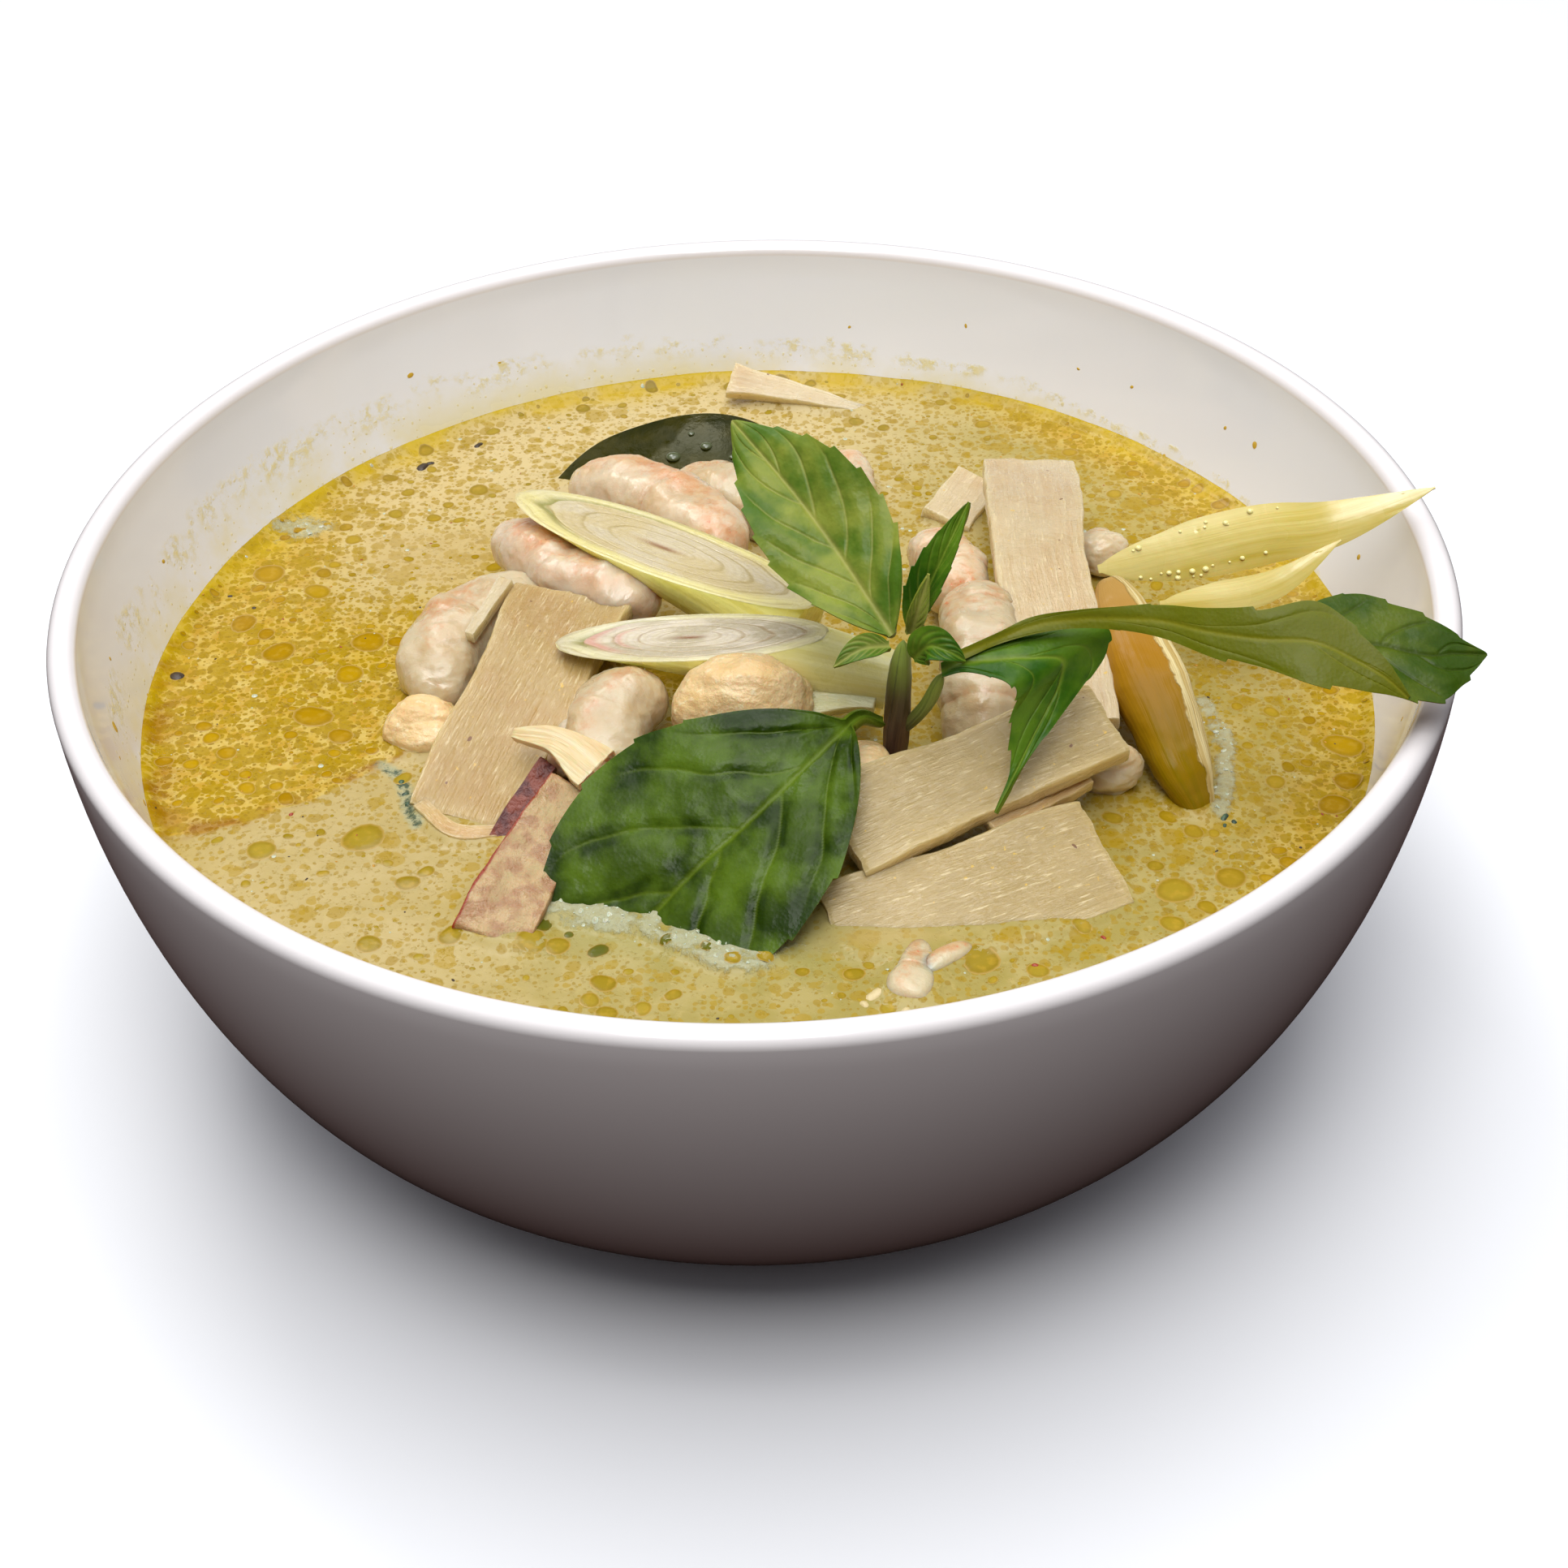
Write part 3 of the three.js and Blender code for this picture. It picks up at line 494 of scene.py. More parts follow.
porcelain, w, wire = material("porcelain", Roughness=0.1)
place = w.place()
height = w.times(w.plus(w.part(place, "Z"), -LEVEL * MM), 1 / MM)
inwards = w.field("within")
frayed = w.plus(height, w.times(w.plus(w.noise(place, 140, 5.0, 0.65), -0.5), 5.0))
share = w.math("DIVIDE", frayed, w.field("scum"))
around = w.times(w.math("ARCTAN2", w.part(place, "Y"), w.part(place, "X")), WALL_RADIUS * MM)
unrolled = w.add("CombineXYZ", {0: around, 1: w.times(height, MM)})
film = w.times(w.step(share, 1.05, 0.0), w.step(w.noise(place, 90, 4.0, 0.6), 0.3, 0.65), 0.8)
grainy = w.step(w.noise(place, 620, 6.0, 0.7), 0.44, 0.64)
broken = w.step(w.noise(place, 160, 3.0), 0.4, 0.6)
crust = w.times(w.step(share, 0.35, 0.85), w.step(share, 1.15, 0.98), grainy, broken)
few = w.beaded(unrolled, 1.1, 0.24, w.times(w.step(share, 1.25, 0.3), 0.4))
splash = w.beaded(unrolled, 9.0, 0.08, w.times(w.step(height, 14.0, 9.0), 0.4))
# Painted light: the glaze is a little darker and warmer outside, painted shade for the outside of the bowl,
# and a little bluer inside, a painted offset against the yellow light that the curry throws on the wall.
glaze = w.mix(inwards, (242, 236, 233), (249, 250, 253))
glaze = w.mix(w.times(film, inwards), glaze, (242, 230, 172))
glaze = w.mix(w.times(crust, inwards, 0.85), glaze, (238, 222, 140))
glaze = w.mix(w.times(few["Mask"], inwards, 0.5), glaze, (236, 216, 120))
glaze = w.mix(w.times(splash["Mask"], inwards), glaze, (216, 176, 60))
wire("Base Color", glaze)
relief = w.times(w.plus(w.times(crust, 0.5), w.times(few["Dome"], 0.5), splash["Dome"]), inwards)
wire("Roughness", w.plus(0.07, w.times(w.plus(film, crust), inwards, 0.3)))
wire("Normal", w.bump(relief, 0.12, 0.7))
bowl_skin = skin(bowl_points, scum=scum, within=within)
piece("porcelain_bowl", bowl_skin, porcelain, ["bowl"], 40)

# %% [markdown]
# ## Basil leaves as sheets
# A leaf is a thin sheet, and nearly all that the eye reads in it is relief: a sunken midrib, side veins
# that arch towards the tip, blisters between them, and small teeth along the margin. The sheet comes
# first, either carried on a rib or stretched between two margins where a leaf folds over across its
# rib. Then the relief is added along the sheet's own normals, on its upper and its lower side.

# %% Two ways to make a leaf's sheet
def leaf_half(u, width, petiole=0.0, widest=0.4, full=0.85):
    """Half widths on the two sides at shares u of the rib. The blade's share s gives
    width * sin(pi s^k)^full, where k puts the widest place at `widest`. The stalk keeps half a mm."""
    s = np.clip((u - petiole) / (1 - petiole), 0, 1)
    blade = np.maximum(np.sin(np.pi * s ** (np.log(0.5) / np.log(widest))), 0) ** full
    return np.maximum(np.outer(blade, width), np.where(u < 0.5, 0.55, 0.12)[:, None])


def ribbed(rib, faces, half, columns, fold=0.0, wave=0.0, waves=3, soft=0.3):
    """A sheet on a rib: place + side * v half cos(fold) + up * (lift + wave sin(waves pi u) v^2), with v
    from -1 to 1 across it. The lift is that of a V with a crease that is `soft` mm round."""
    u, v = np.linspace(0, 1, len(half)), np.linspace(-1, 1, columns)
    place, along, up, side, length = frames(rib, faces, u)
    out = np.where(v < 0, half[:, :1], half[:, 1:]) * v
    ripple = wave * np.sin(waves * np.pi * u)[:, None] * v**2
    lift = (np.sqrt(out**2 + soft**2) - soft) * np.sin(fold) + ripple
    return place[:, None] + side[:, None] * (out * np.cos(fold))[..., None] + up[:, None] * lift[..., None]


def between_margins(back, front, rows, columns):
    """A sheet stretched from one margin to the other, point beside point: back (1 - w) + front w."""
    u, w = np.linspace(0, 1, rows), np.linspace(0, 1, columns)[:, None]
    return (1 - w) * path(back, u, False)[0][:, None] + w * path(front, u, False)[0][:, None]


def unit(vectors):
    """The same directions with length 1."""
    return vectors / np.maximum(np.linalg.norm(vectors, axis=-1, keepdims=True), 1e-9)


# %% The relief and the two sides of a leaf
def leaf_skin(
    sheet, petiole=0.0, veins=6, teeth=9, puff=0.45, thick=0.35, seed=1, shown_under=False, midrib=1.0
):
    """A leaf from its sheet. Side veins lie where q = s - 0.3 |v| - 0.1 v^2 is a multiple of 1/veins,
    with s the share along the blade. Distances d to them and to the midrib, in mm, give the relief:
    grooves of bell(d), and blisters that fill the rest. Each tooth leans to the tip: its height grows
    with the share of the way to the next tooth, then drops."""
    rows, columns = sheet.shape[:2]
    u, v = np.linspace(0, 1, rows)[:, None], np.linspace(-1, 1, columns)[None]
    s = np.clip((u - petiole) / (1 - petiole), 0, 1)
    blade = smooth(s, 0.0, 0.06)
    across = unit(np.gradient(sheet, axis=1))
    normal = unit(np.cross(np.gradient(sheet, axis=1), np.gradient(sheet, axis=0)))
    half = np.linalg.norm(sheet[:, -1] - sheet[:, 0], axis=1)[:, None] / 2
    length = np.linalg.norm(np.diff(sheet[:, columns // 2], axis=0), axis=1).sum()
    waver = 0.12 * noise(sheet, 7.0, seed, 2)
    q = (s - 0.3 * np.abs(v) - 0.1 * v**2) * veins + np.where(v > 0, 0.35, 0) + waver
    to_side = np.abs(q - np.round(q)) / veins * length * 0.9
    to_rib = np.abs(v) * half
    rib = midrib * bell(to_rib, 0.45 - 0.25 * s)
    side_vein = bell(to_side, 0.24) * blade * smooth(np.abs(v), 1.0, 0.7) * smooth(s, 1.0, 0.9)
    vein = np.maximum(rib, 0.75 * side_vein)
    blister = (1 - bell(to_side, 1.6)) * (1 - bell(to_rib, 2.2)) * (1 - v**4) * blade
    rough = noise(sheet, 4.2, seed + 1, 4) * (1 - v**6) * blade
    saw = (s * teeth + 0.15 * np.sign(v)) % 1
    tooth = 0.5 * saw**2 * smooth(s, 0.18, 0.3) * smooth(s, 0.96, 0.85) * smooth(half, 0.8, 3.0)
    sheet = sheet + across * (np.sign(v) * np.abs(v) ** 10 * tooth)[..., None]
    relief = puff * (0.6 * blister + 0.45 * rough) - 0.2 * vein * (1 - 0.5 * shown_under)
    body = thick * (1 - 0.6 * np.abs(v) ** 10) + midrib * 0.7 * bell(to_rib, 0.6) * (1 - 0.75 * s)
    top = sheet + normal * (relief + thick / 2)[..., None]
    below = sheet + normal * (relief + thick / 2 - body)[..., None]
    points = np.hstack([top, below[:, ::-1]])
    whole = lambda field: np.hstack([np.broadcast_to(field, (rows, columns))] * 2)
    mirror = lambda field: np.hstack([np.broadcast_to(field, (rows, columns)),
                                      np.broadcast_to(field, (rows, columns))[:, ::-1]])
    upper = np.hstack([np.ones((rows, columns)), np.zeros((rows, columns))])
    grain = np.stack([mirror(s * length), mirror(v * half), whole(seed * 3.7)], -1)
    return skin(
        points,
        caps=True,
        vein=mirror(vein),
        hollow=mirror(1 - blister),
        rim=mirror(np.abs(v) ** 8),
        upper=1 - upper if shown_under else upper,
        grain=grain,
    )


# %% [markdown]
# The leaves of one sprig differ: the large one is dark and wet, the young ones at the top are bright,
# and where a leaf turns over, its underside is dull and yellower. So each has its own material, and all
# share the mottling and the wet relief. Fine cells in the bump are what makes a leaf look waxy.

# %% Leaf materials
def leaf_material(name, dark, light, under, vein, gloss=0.34):
    """Mottled green above, painted paler on the blisters as light on the puckers, one duller green below,
    paler veins, with a skin of fine cells.
    """
    made, w, wire = material(
        name, Roughness=gloss, Specular_IOR_Level=0.12, Subsurface_Weight=0.12, Subsurface_Scale=0.0012,
        Subsurface_Radius=(0.5, 1.0, 0.2),
    )
    place = w.place()
    blade = w.mottled(place, 150.0, dark, light, 0.35, 0.68)
    # Painted light: paler green where the blisters rise.
    blade = w.mix(w.times(w.step(w.field("hollow"), 0.55, 0.0), 0.35), blade, light)
    blade = w.mix(w.times(w.field("vein"), 0.55), blade, vein)
    beneath = w.mix(w.times(w.field("vein"), 0.5), under, vein)
    beneath = w.mix(w.times(w.noise(place, 500, 4.0), 0.3), beneath, light)
    colour = w.mix(w.field("upper"), beneath, blade)
    speck = w.noise(place, 3000, 3.0, 0.6)
    colour = w.mix(w.times(w.step(speck, 0.62, 0.72), 0.25), colour, dark)
    wire("Base Color", colour)
    moist = w.moist(place, 1400.0, gloss)
    wire("Roughness", w.plus(w.times(moist["Roughness"], 0.4), 0.24, w.times(w.field("upper"), -0.08)))
    cells = w.add("TexVoronoi", {"Vector": place, "Scale": 2200.0}, "Distance")
    relief = w.plus(w.times(moist["Height"], 0.3), w.times(cells, 0.5))
    wire("Normal", w.bump(relief, 0.08, 0.6))
    return made


deep_leaf = leaf_material("leaf deep green", (32, 50, 2), (82, 106, 24), (96, 107, 23), (105, 125, 29), 0.3)
young_leaf = leaf_material("leaf bright green", (76, 107, 28), (136, 145, 55), (126, 123, 40), (173, 168, 91))
mid_leaf = leaf_material("leaf mid green", (45, 85, 14), (91, 123, 29), (95, 108, 25), (129, 147, 48))
pale_leaf = leaf_material("leaf turned over", (40, 66, 11), (82, 100, 20), (102, 104, 14), (142, 134, 28))
tip_leaf = leaf_material("leaf far tip", (54, 77, 16), (92, 105, 28), (156, 118, 29), (54, 66, 15))
print("leaf materials:", [m.name for m in bpy.data.materials if m.name.startswith("leaf")])

# %% [markdown]
# The large leaf leaves the stem at the middle of the bowl, bulges, and slides under the curry.

# %% The large wet leaf
u = np.linspace(0, 1, 220)
rib = [
    [14.6, -24.6, 60.3], [11.8, -26.3, 62.3], [9.3, -29.1, 62], [-0.4, -38, 57.8],
    [-8, -42.6, 53], [-14.5, -46.6, 48], [-25, -52, 39],
]
half = leaf_half(u, [13.8, 17], petiole=0.11, widest=0.48, full=0.76)
sheet = ribbed(rib, [[-0.1, -0.4, 0.9], [-0.13, -0.5, 0.86]], half, 130, fold=0.1, wave=1.0)
leaf = leaf_skin(sheet, petiole=0.11, veins=4.6, teeth=7, puff=0.5, seed=3)
piece("leaf_front", leaf, deep_leaf, ["basil_leaf_front"], 70)

# %% The leaf that folds over and hangs
front = [
    [21, -28.4, 69.2], [23.3, -28.4, 69.8], [26.2, -29.6, 70], [28.6, -31.2, 70], [29.3, -31.4, 68.9],
    [28.8, -31.9, 66.8], [28.5, -33, 64.2], [28.5, -34.4, 61.8], [28.1, -35.9, 59.9], [26.4, -38.4, 57.4],
]
back = [
    [20.9, -27, 70.2], [23.4, -26.1, 70.8], [27.6, -25.4, 71.6], [33.4, -24.4, 72.2], [40.1, -23, 71.6],
    [40.1, -24.2, 69.2], [36.9, -27.6, 66.4], [32, -32.8, 62.9], [29, -36.1, 60.4], [26.6, -38.5, 57.5],
]
leaf = leaf_skin(between_margins(back, front, 210, 100), veins=3.5, teeth=8, puff=0.22, seed=5)
piece("leaf_hanging", leaf, mid_leaf, ["basil_leaf_droop"], 70)

# %% The long leaf over the rim, whose near half shows its underside
front = [
    [23.2, -27.5, 70.8], [27.4, -26.2, 72], [32.3, -25.9, 73.2], [36.3, -26.3, 74], [40.6, -27.8, 74.7],
    [45.1, -30.2, 75.2], [50.2, -34, 75.4], [55.7, -36.8, 75.4], [60.4, -39.4, 75.2], [64.3, -40.1, 74.8],
    [67.8, -40.6, 74.3], [70.6, -40.9, 73.6],
]
back = [
    [23.2, -26.6, 71.8], [27, -25.6, 73], [31.2, -24.5, 74.4], [36.4, -25.1, 75.7], [40.7, -26.2, 76.7],
    [45.7, -27.7, 77.8], [50.1, -30.2, 78.8], [55.3, -32.1, 79.8], [61.4, -32, 80.6], [65.2, -34.8, 79],
    [68.4, -38, 77], [70.9, -40.8, 74],
]
near_part = leaf_skin(
    between_margins(back, front, 240, 80), veins=2.4, teeth=5, puff=0.2, seed=7, shown_under=True
)
front = [
    [63.1, -39.8, 74.9], [67, -40.5, 74.4], [70.2, -40.7, 73.7], [72.6, -40.8, 73.2], [74.9, -40.4, 73],
    [77.5, -37.7, 73.3], [79.5, -35.6, 73.8], [80.9, -34, 74.2],
]
back = [
    [60, -29.6, 77], [63, -28.2, 78.2], [67.3, -27.6, 78.4], [70.3, -28.7, 77.9], [73.2, -29.9, 77.4],
    [75.9, -31.3, 76.6], [78.3, -32.9, 75.5], [80.9, -33.8, 74.3],
]
far_part = leaf_skin(between_margins(back, front, 150, 90), veins=3.2, teeth=5, puff=0.35, seed=9)
piece("leaf_over_rim", near_part, pale_leaf, ["basil_leaf_right"], 70)
piece("leaf_over_rim_tip", far_part, tip_leaf, ["basil_leaf_right"], 70)

# %% The leaves at the top of the sprig
YOUNG_LEAVES = {  # name: node, look, rib, faces, half widths, rows, ribbed's further values, leaf_skin's
    "leaf_up": (
        "basil_leaf_up", young_leaf, [
            [15.6, -23.2, 71.6], [9.6, -14.3, 77.5], [4.8, -7.8, 81.5], [-2.1, 1.2, 86],
        ],
        [[-0.2, -0.6, 0.78]], [7.2, 7.8], 200, (110, 0.2, 0.7, 4), {"veins": 5.2, "teeth": 9, "puff": 0.42},
    ),
    "leaf_upright": (
        "basil_leaf_folded", mid_leaf, [[17.6, -22.2, 71.5], [20.4, -21, 78], [24.5, -16.5, 85]],
        [[-0.6, -0.7, 0.3], [-0.4, -0.8, 0.4]], [2.8, 2.8], 140, (60, 0.7), {"teeth": 7, "puff": 0.3},
    ),
    "leaf_small": (
        "basil_leaf_small", young_leaf, [[17.6, -24.3, 72.4], [18.4, -24.6, 76], [19.6, -23.6, 80]],
        [[0, -0.9, 0.3]], [1.3, 1.3], 80, (30, 0.5), {"teeth": 0, "puff": 0.15, "thick": 0.3},
    ),
    "leaf_tiny": (
        "basil_leaf_tiny", young_leaf, [[15.2, -24.9, 71.4], [12, -26.2, 71.9], [8.7, -27.6, 70.6]],
        [[0, -0.5, 0.85]], [1.5, 1.7], 80, (30, 0.3), {"teeth": 0, "puff": 0.15, "thick": 0.3},
    ),
    "leaf_bud": (
        "basil_bud", mid_leaf, [[17.8, -26, 70.2], [19.6, -27, 72.6], [21.8, -28, 72.4], [23.6, -28.4, 71.4]],
        [[0.1, -0.8, 0.6], [0, -0.5, 0.85]], [2.2, 2.2], 80, (40, 0.4), {"teeth": 0, "puff": 0.3},
    ),
}
for k, (name, (node, look, rib, faces, width, rows, bent, relief)) in enumerate(YOUNG_LEAVES.items()):
    half = leaf_half(np.linspace(0, 1, rows), width, widest=0.45 if name == "leaf_up" else 0.4)
    piece(
        name, leaf_skin(ribbed(rib, faces, half, *bent), seed=11 + 2 * k, **relief), look, [node],
        70,
    )

# %% [markdown]
# ## Plump bodies
# The stem, the prawns and the standing piece of lemongrass are all bodies along a path: rings whose
# radius swells and shrinks. A prawn's shell plates overlap like roof tiles, so each segment grows
# a little towards its end and then drops, and the band at that border is where it is orange.

# %% A body along a path
BACKWARDS = unit(np.array([-0.15, 0.5, 0.85]))  # where the orange backs of the prawns look


def plump(points, radius, taper=(1, 1), segments=0, flat=0.9, rows=150, columns=64, seed=1, rough=0.0):
    """Rings of radius * taper(u) * (1 - 0.93 (2u - 1)^4)^0.5, a little less between two segments, and with
    a rise of 4.5% along each. Cosine and sine go to the power 0.85, so the rings are a little square.
    Two more rings at each end draw in and close it. Rough adds noise in mm."""
    u = 0.5 - 0.5 * np.cos(np.pi * np.linspace(0, 1, rows))
    place, along, up, side, length = frames(points, [[0, 0, 1]], u)
    r = radius * listed(taper, u) * np.sqrt(1 - 0.93 * (2 * u - 1) ** 4)
    border = np.full(rows, 9.0)
    if segments:
        to_border = (segments * u + 0.5) % 1
        border = (np.abs(to_border - 0.5)) * length / segments
        r = r * (1 - 0.035 * bell(border, 0.9)) * (1 + 0.045 * smooth((segments * u) % 1, 0, 1))
    r = np.concatenate([[0, 0.6 * r[0]], r, [0.6 * r[-1], 0]])
    u = np.concatenate([[0, 0], u, [1, 1]])
    border = np.concatenate([border[:1], border[:1], border, border[-1:], border[-1:]])
    ends = np.array([-0.35, -0.25] + [0.0] * rows + [0.25, 0.35])[:, None]
    first, last = [0, 0], [rows - 1, rows - 1]
    pick = np.concatenate([first, np.arange(rows), last])
    place, along, up, side = place[pick] + along[pick] * ends, along[pick], up[pick], side[pick]
    turn = np.linspace(0, 2 * np.pi, columns, endpoint=False)[None]
    squarish = lambda part: np.sign(part) * np.abs(part) ** 0.85
    sideways = side[:, None] * squarish(np.cos(turn))[..., None]
    out = sideways + up[:, None] * squarish(np.sin(turn))[..., None] * flat
    points = place[:, None] + out * r[:, None, None]
    if rough:
        points = points + unit(out) * (rough * noise(points, 4.5, seed, 4) * (r[:, None] > 0))[..., None]
    arc = radius * (turn - np.pi)
    grain = np.stack(np.broadcast_arrays((u * length)[:, None], arc, seed * 2.3), -1)
    fields = {"border": border[:, None], "back": unit(out) @ BACKWARDS, "grain": grain, "share": u[:, None]}
    return skin(points, **fields)


# %% The stem, purple below and green above
stem, w, wire = material("stem", Roughness=0.4)
share = w.field("share")
green = w.mix(w.step(share, 0.55, 0.95), (74, 62, 34), (132, 150, 60))
stripes = w.strands(w.field("grain", "Vector"), 0.5, 14.0)
purple = w.mix(w.step(stripes["Streak"], 0.4, 0.6), (66, 44, 34), (112, 84, 56))
wire("Base Color", w.mix(w.step(share, 0.2, 0.75), purple, green))
wire("Normal", w.bump(stripes["Height"], 0.2, 0.8))
main = plump(
    [[16.1, -23.3, 52.5], [16.3, -23.6, 62], [16.8, -23.9, 71]], 1.5, (1.1, 0.85), flat=1, rough=0.12,
)
branch = plump([[16.8, -23.6, 58], [19.6, -25.6, 63.5], [21, -27.2, 68.6]], 0.8, flat=1, rows=80, columns=32)
branch["fields"]["share"] = branch["fields"]["share"] * 0.4 + 0.6
piece("sprig_stem", join(main, branch), stem, ["basil_stem"])

# %% [markdown]
# ## Prawns
# Peeled, cooked prawns: firm white flesh with a pink cast, and orange bands and mottling on the back.
# Light sinks a little into the flesh, so the material has some subsurface scattering.

# %% The finish of prawns
def prawn_material(name, flesh, blush, orange, amount):
    """Flesh mottled with a blush; orange lies in grains along the back and faintly between segments."""
    made, w, wire = material(
        name, Roughness=0.3, Subsurface_Weight=0.6, Subsurface_Scale=0.005, Coat_Weight=0.3,
        Coat_Roughness=0.1, Subsurface_Radius=(1.0, 0.6, 0.4),
    )
    place = w.place()
    body = w.mottled(place, 170.0, flesh, blush, 0.42, 0.66)
    grains = w.noise(place, 640, 5.0, 0.7)
    patch = w.plus(w.times(w.field("back"), 0.5), w.times(w.noise(place, 120), 1.3), w.times(grains, 0.9))
    patch = w.step(patch, 1.74 - amount * 0.5, 2.14 - amount * 0.5)
    band = w.times(w.step(w.field("border"), 1.0, 0.1), w.step(grains, 0.4, 0.6), 0.4)
    body = w.mix(w.times(w.math("MAXIMUM", patch, band), 0.7), body, orange)
    dots = w.step(w.noise(place, 1500, 2.0), 0.64, 0.72)
    body = w.mix(w.times(dots, patch, 0.6), body, (214, 98, 50))
    yellow = w.step(w.noise(place, 480, 3.0), 0.7, 0.76)
    body = w.mix(w.times(yellow, 0.6), body, (226, 186, 80))
    wire("Base Color", body)
    moist = w.moist(place, 1000.0, 0.34)
    across = w.strands(w.field("grain", "Vector"), 2.4, 0.6)
    wire("Roughness", moist["Roughness"])
    wire("Normal", w.bump(w.plus(moist["Height"], w.times(across["Height"], 0.6)), 0.22, 0.6))
    return made


pink_prawn = prawn_material("prawn pink", (215, 195, 166), (212, 178, 142), (215, 148, 104), 0.75)
white_prawn = prawn_material("prawn white", (205, 187, 151), (198, 173, 130), (200, 131, 73), 0.6)
gold_prawn = prawn_material("prawn golden", (217, 197, 164), (210, 181, 139), (210, 143, 85), 0.75)

# %% The prawns
PRAWNS = {  # name: look, radius, taper, segments, flatness, path
    "pink": (
        pink_prawn, 5, (0.8, 1), 2, 0.9,
        [[-32.8, 25, 56.2], [-27.4, 16.2, 57], [-20, 8.8, 57.4], [-12.4, 5.4, 57]],
    ),
    "left": (
        white_prawn, 5.6, (0.95, 1), 2, 0.9,
        [[-39.8, -7, 51.4], [-39.4, 0.8, 52.8], [-36.2, 6.8, 53.4], [-30.4, 9.6, 53.4], [-24, 8.8, 52]],
    ),
    "top": (
        gold_prawn, 5.4, (0.95, 0.95), 2, 0.9,
        [[-24.4, 38.4, 54.6], [-16, 33.6, 56], [-8.6, 27, 56], [-1.8, 19.6, 55]],
    ),
    "pale": (
        white_prawn, 4.4, (1, 1), 3, 0.9,
        [[-12, 40, 52.4], [-4, 37.8, 53], [4.4, 32, 52.6], [10, 24, 52.4]],
    ),
    "centre": (
        white_prawn, 5.4, (0.9, 1), 0, 0.9,
        [[-11.4, -11.4, 55.4], [-16.4, -14.2, 55.6], [-18.2, -19.4, 54], [-16.4, -24.6, 51.6]],
    ),
    "tail": (
        pink_prawn, 2.2, (1, 1), 2, 0.7,
        [[-22.6, -15.2, 54.6], [-22.4, -18.6, 54], [-23.4, -22.6, 52.6]],
    ),
    "right": (
        white_prawn, 5.2, (0.95, 1), 4, 0.9,
        [[28.4, 5.6, 56.6], [27.6, -5.4, 57.6], [27.2, -15.6, 54.4], [26.8, -21, 50.6]],
    ),
    "back_right": (
        gold_prawn, 4.4, (0.9, 1), 3, 0.9, [[22.6, 22.4, 53.6], [25.6, 14.4, 54.8], [26.6, 7, 54.6]],
    ),
}
for k, (name, (look, radius, taper, segments, flat, points)) in enumerate(PRAWNS.items()):
    made = plump(points, radius, taper, segments, flat, 180, 72, 31 + k, 0.6)
    piece("shrimp_" + name, made, look, ["prawn_" + name])

floating = join(
    plump([[17.2, -49.6, 48.4], [16.8, -54.4, 48.6], [15, -60.2, 48.4]], 3.1, (0.5, 1), 2, 0.75, rough=0.3),
    plump(
        [[16.8, -56, 48.8], [20, -53.6, 49.2], [23.2, -51.6, 48.8]], 1.4, (1, 1), 1, 0.9, 60, 32,
        rough=0.15,
    ),
)
piece("shrimp_floating", floating, white_prawn, ["prawn_floating"])

# %% [markdown]
# ## Torn chunks
# Chicken and the ends of more prawns show as chunks. A chunk is a ball stretched to its size, then
# raised and sunk by five waves that run through it in random directions, with noise for the torn flesh.

# %% A chunk
def chunk(at, size, turn=0.0, seed=1, rough=0.5, rows=70, columns=110):
    """A ball of directions p becomes p * size * (1 + 0.2 bump), where bump is the mean of five sine waves
    sin(way . p + phase). It is turned about Z and moved to `at`. Rough adds noise in mm."""
    state = [seed]

    def draw():
        state[0] = (state[0] * 1664525 + 1013904223) % 2**32
        return state[0] / 2**32

    a = np.linspace(0, np.pi, rows)[:, None]
    b = np.linspace(0, 2 * np.pi, columns, endpoint=False)[None]
    p = np.stack(np.broadcast_arrays(np.sin(a) * np.cos(b), np.sin(a) * np.sin(b), np.cos(a)), -1)
    bump = 0
    for _ in range(5):
        way = np.array([draw() - 0.5, draw() - 0.5, draw() - 0.5])
        way = way / np.linalg.norm(way) * (2 + 3 * draw())
        bump = bump + np.sin(p @ way + 2 * np.pi * draw()) / 5
    points = p * np.array(size) * (1 + 0.2 * bump[..., None])
    points = points + p * (rough * noise(points, (5.0, 2.2, 2.2), seed, 5))[..., None]
    c, s = np.cos(turn), np.sin(turn)
    points = points @ np.array([[c, s, 0], [-s, c, 0], [0, 0, 1]]) + np.array(at)
    return skin(points, border=np.array([[9.0]]), back=p @ BACKWARDS, grain=points)


# %% Chicken, pale yellow and fibrous
chicken, w, wire = material("chicken", Roughness=0.42, Subsurface_Weight=0.3, Subsurface_Scale=0.003)
place = w.place()
in_mm = w.add("VectorMath", {0: place, 1: (1000, 1000, 1000)}, operation="MULTIPLY")
strands = w.strands(in_mm, 0.7, 5.0)
body = w.mix(
    w.times(w.step(strands["Streak"], 0.42, 0.3), 0.12),
    w.mottled(place, 230.0, (232, 202, 148), (223, 187, 126), 0.4, 0.66), (209, 160, 95),
)
body = w.mix(w.times(w.step(w.noise(place, 900, 3.0), 0.58, 0.7), 0.6), body, (238, 221, 178))
wire("Base Color", body)
moist = w.moist(place, 900.0, 0.45)
wire("Roughness", moist["Roughness"])
lumps = w.noise(place, 420, 5.0, 0.65)
wire("Normal", w.bump(w.plus(w.times(lumps, 2.0), moist["Height"]), 0.25, 0.8))
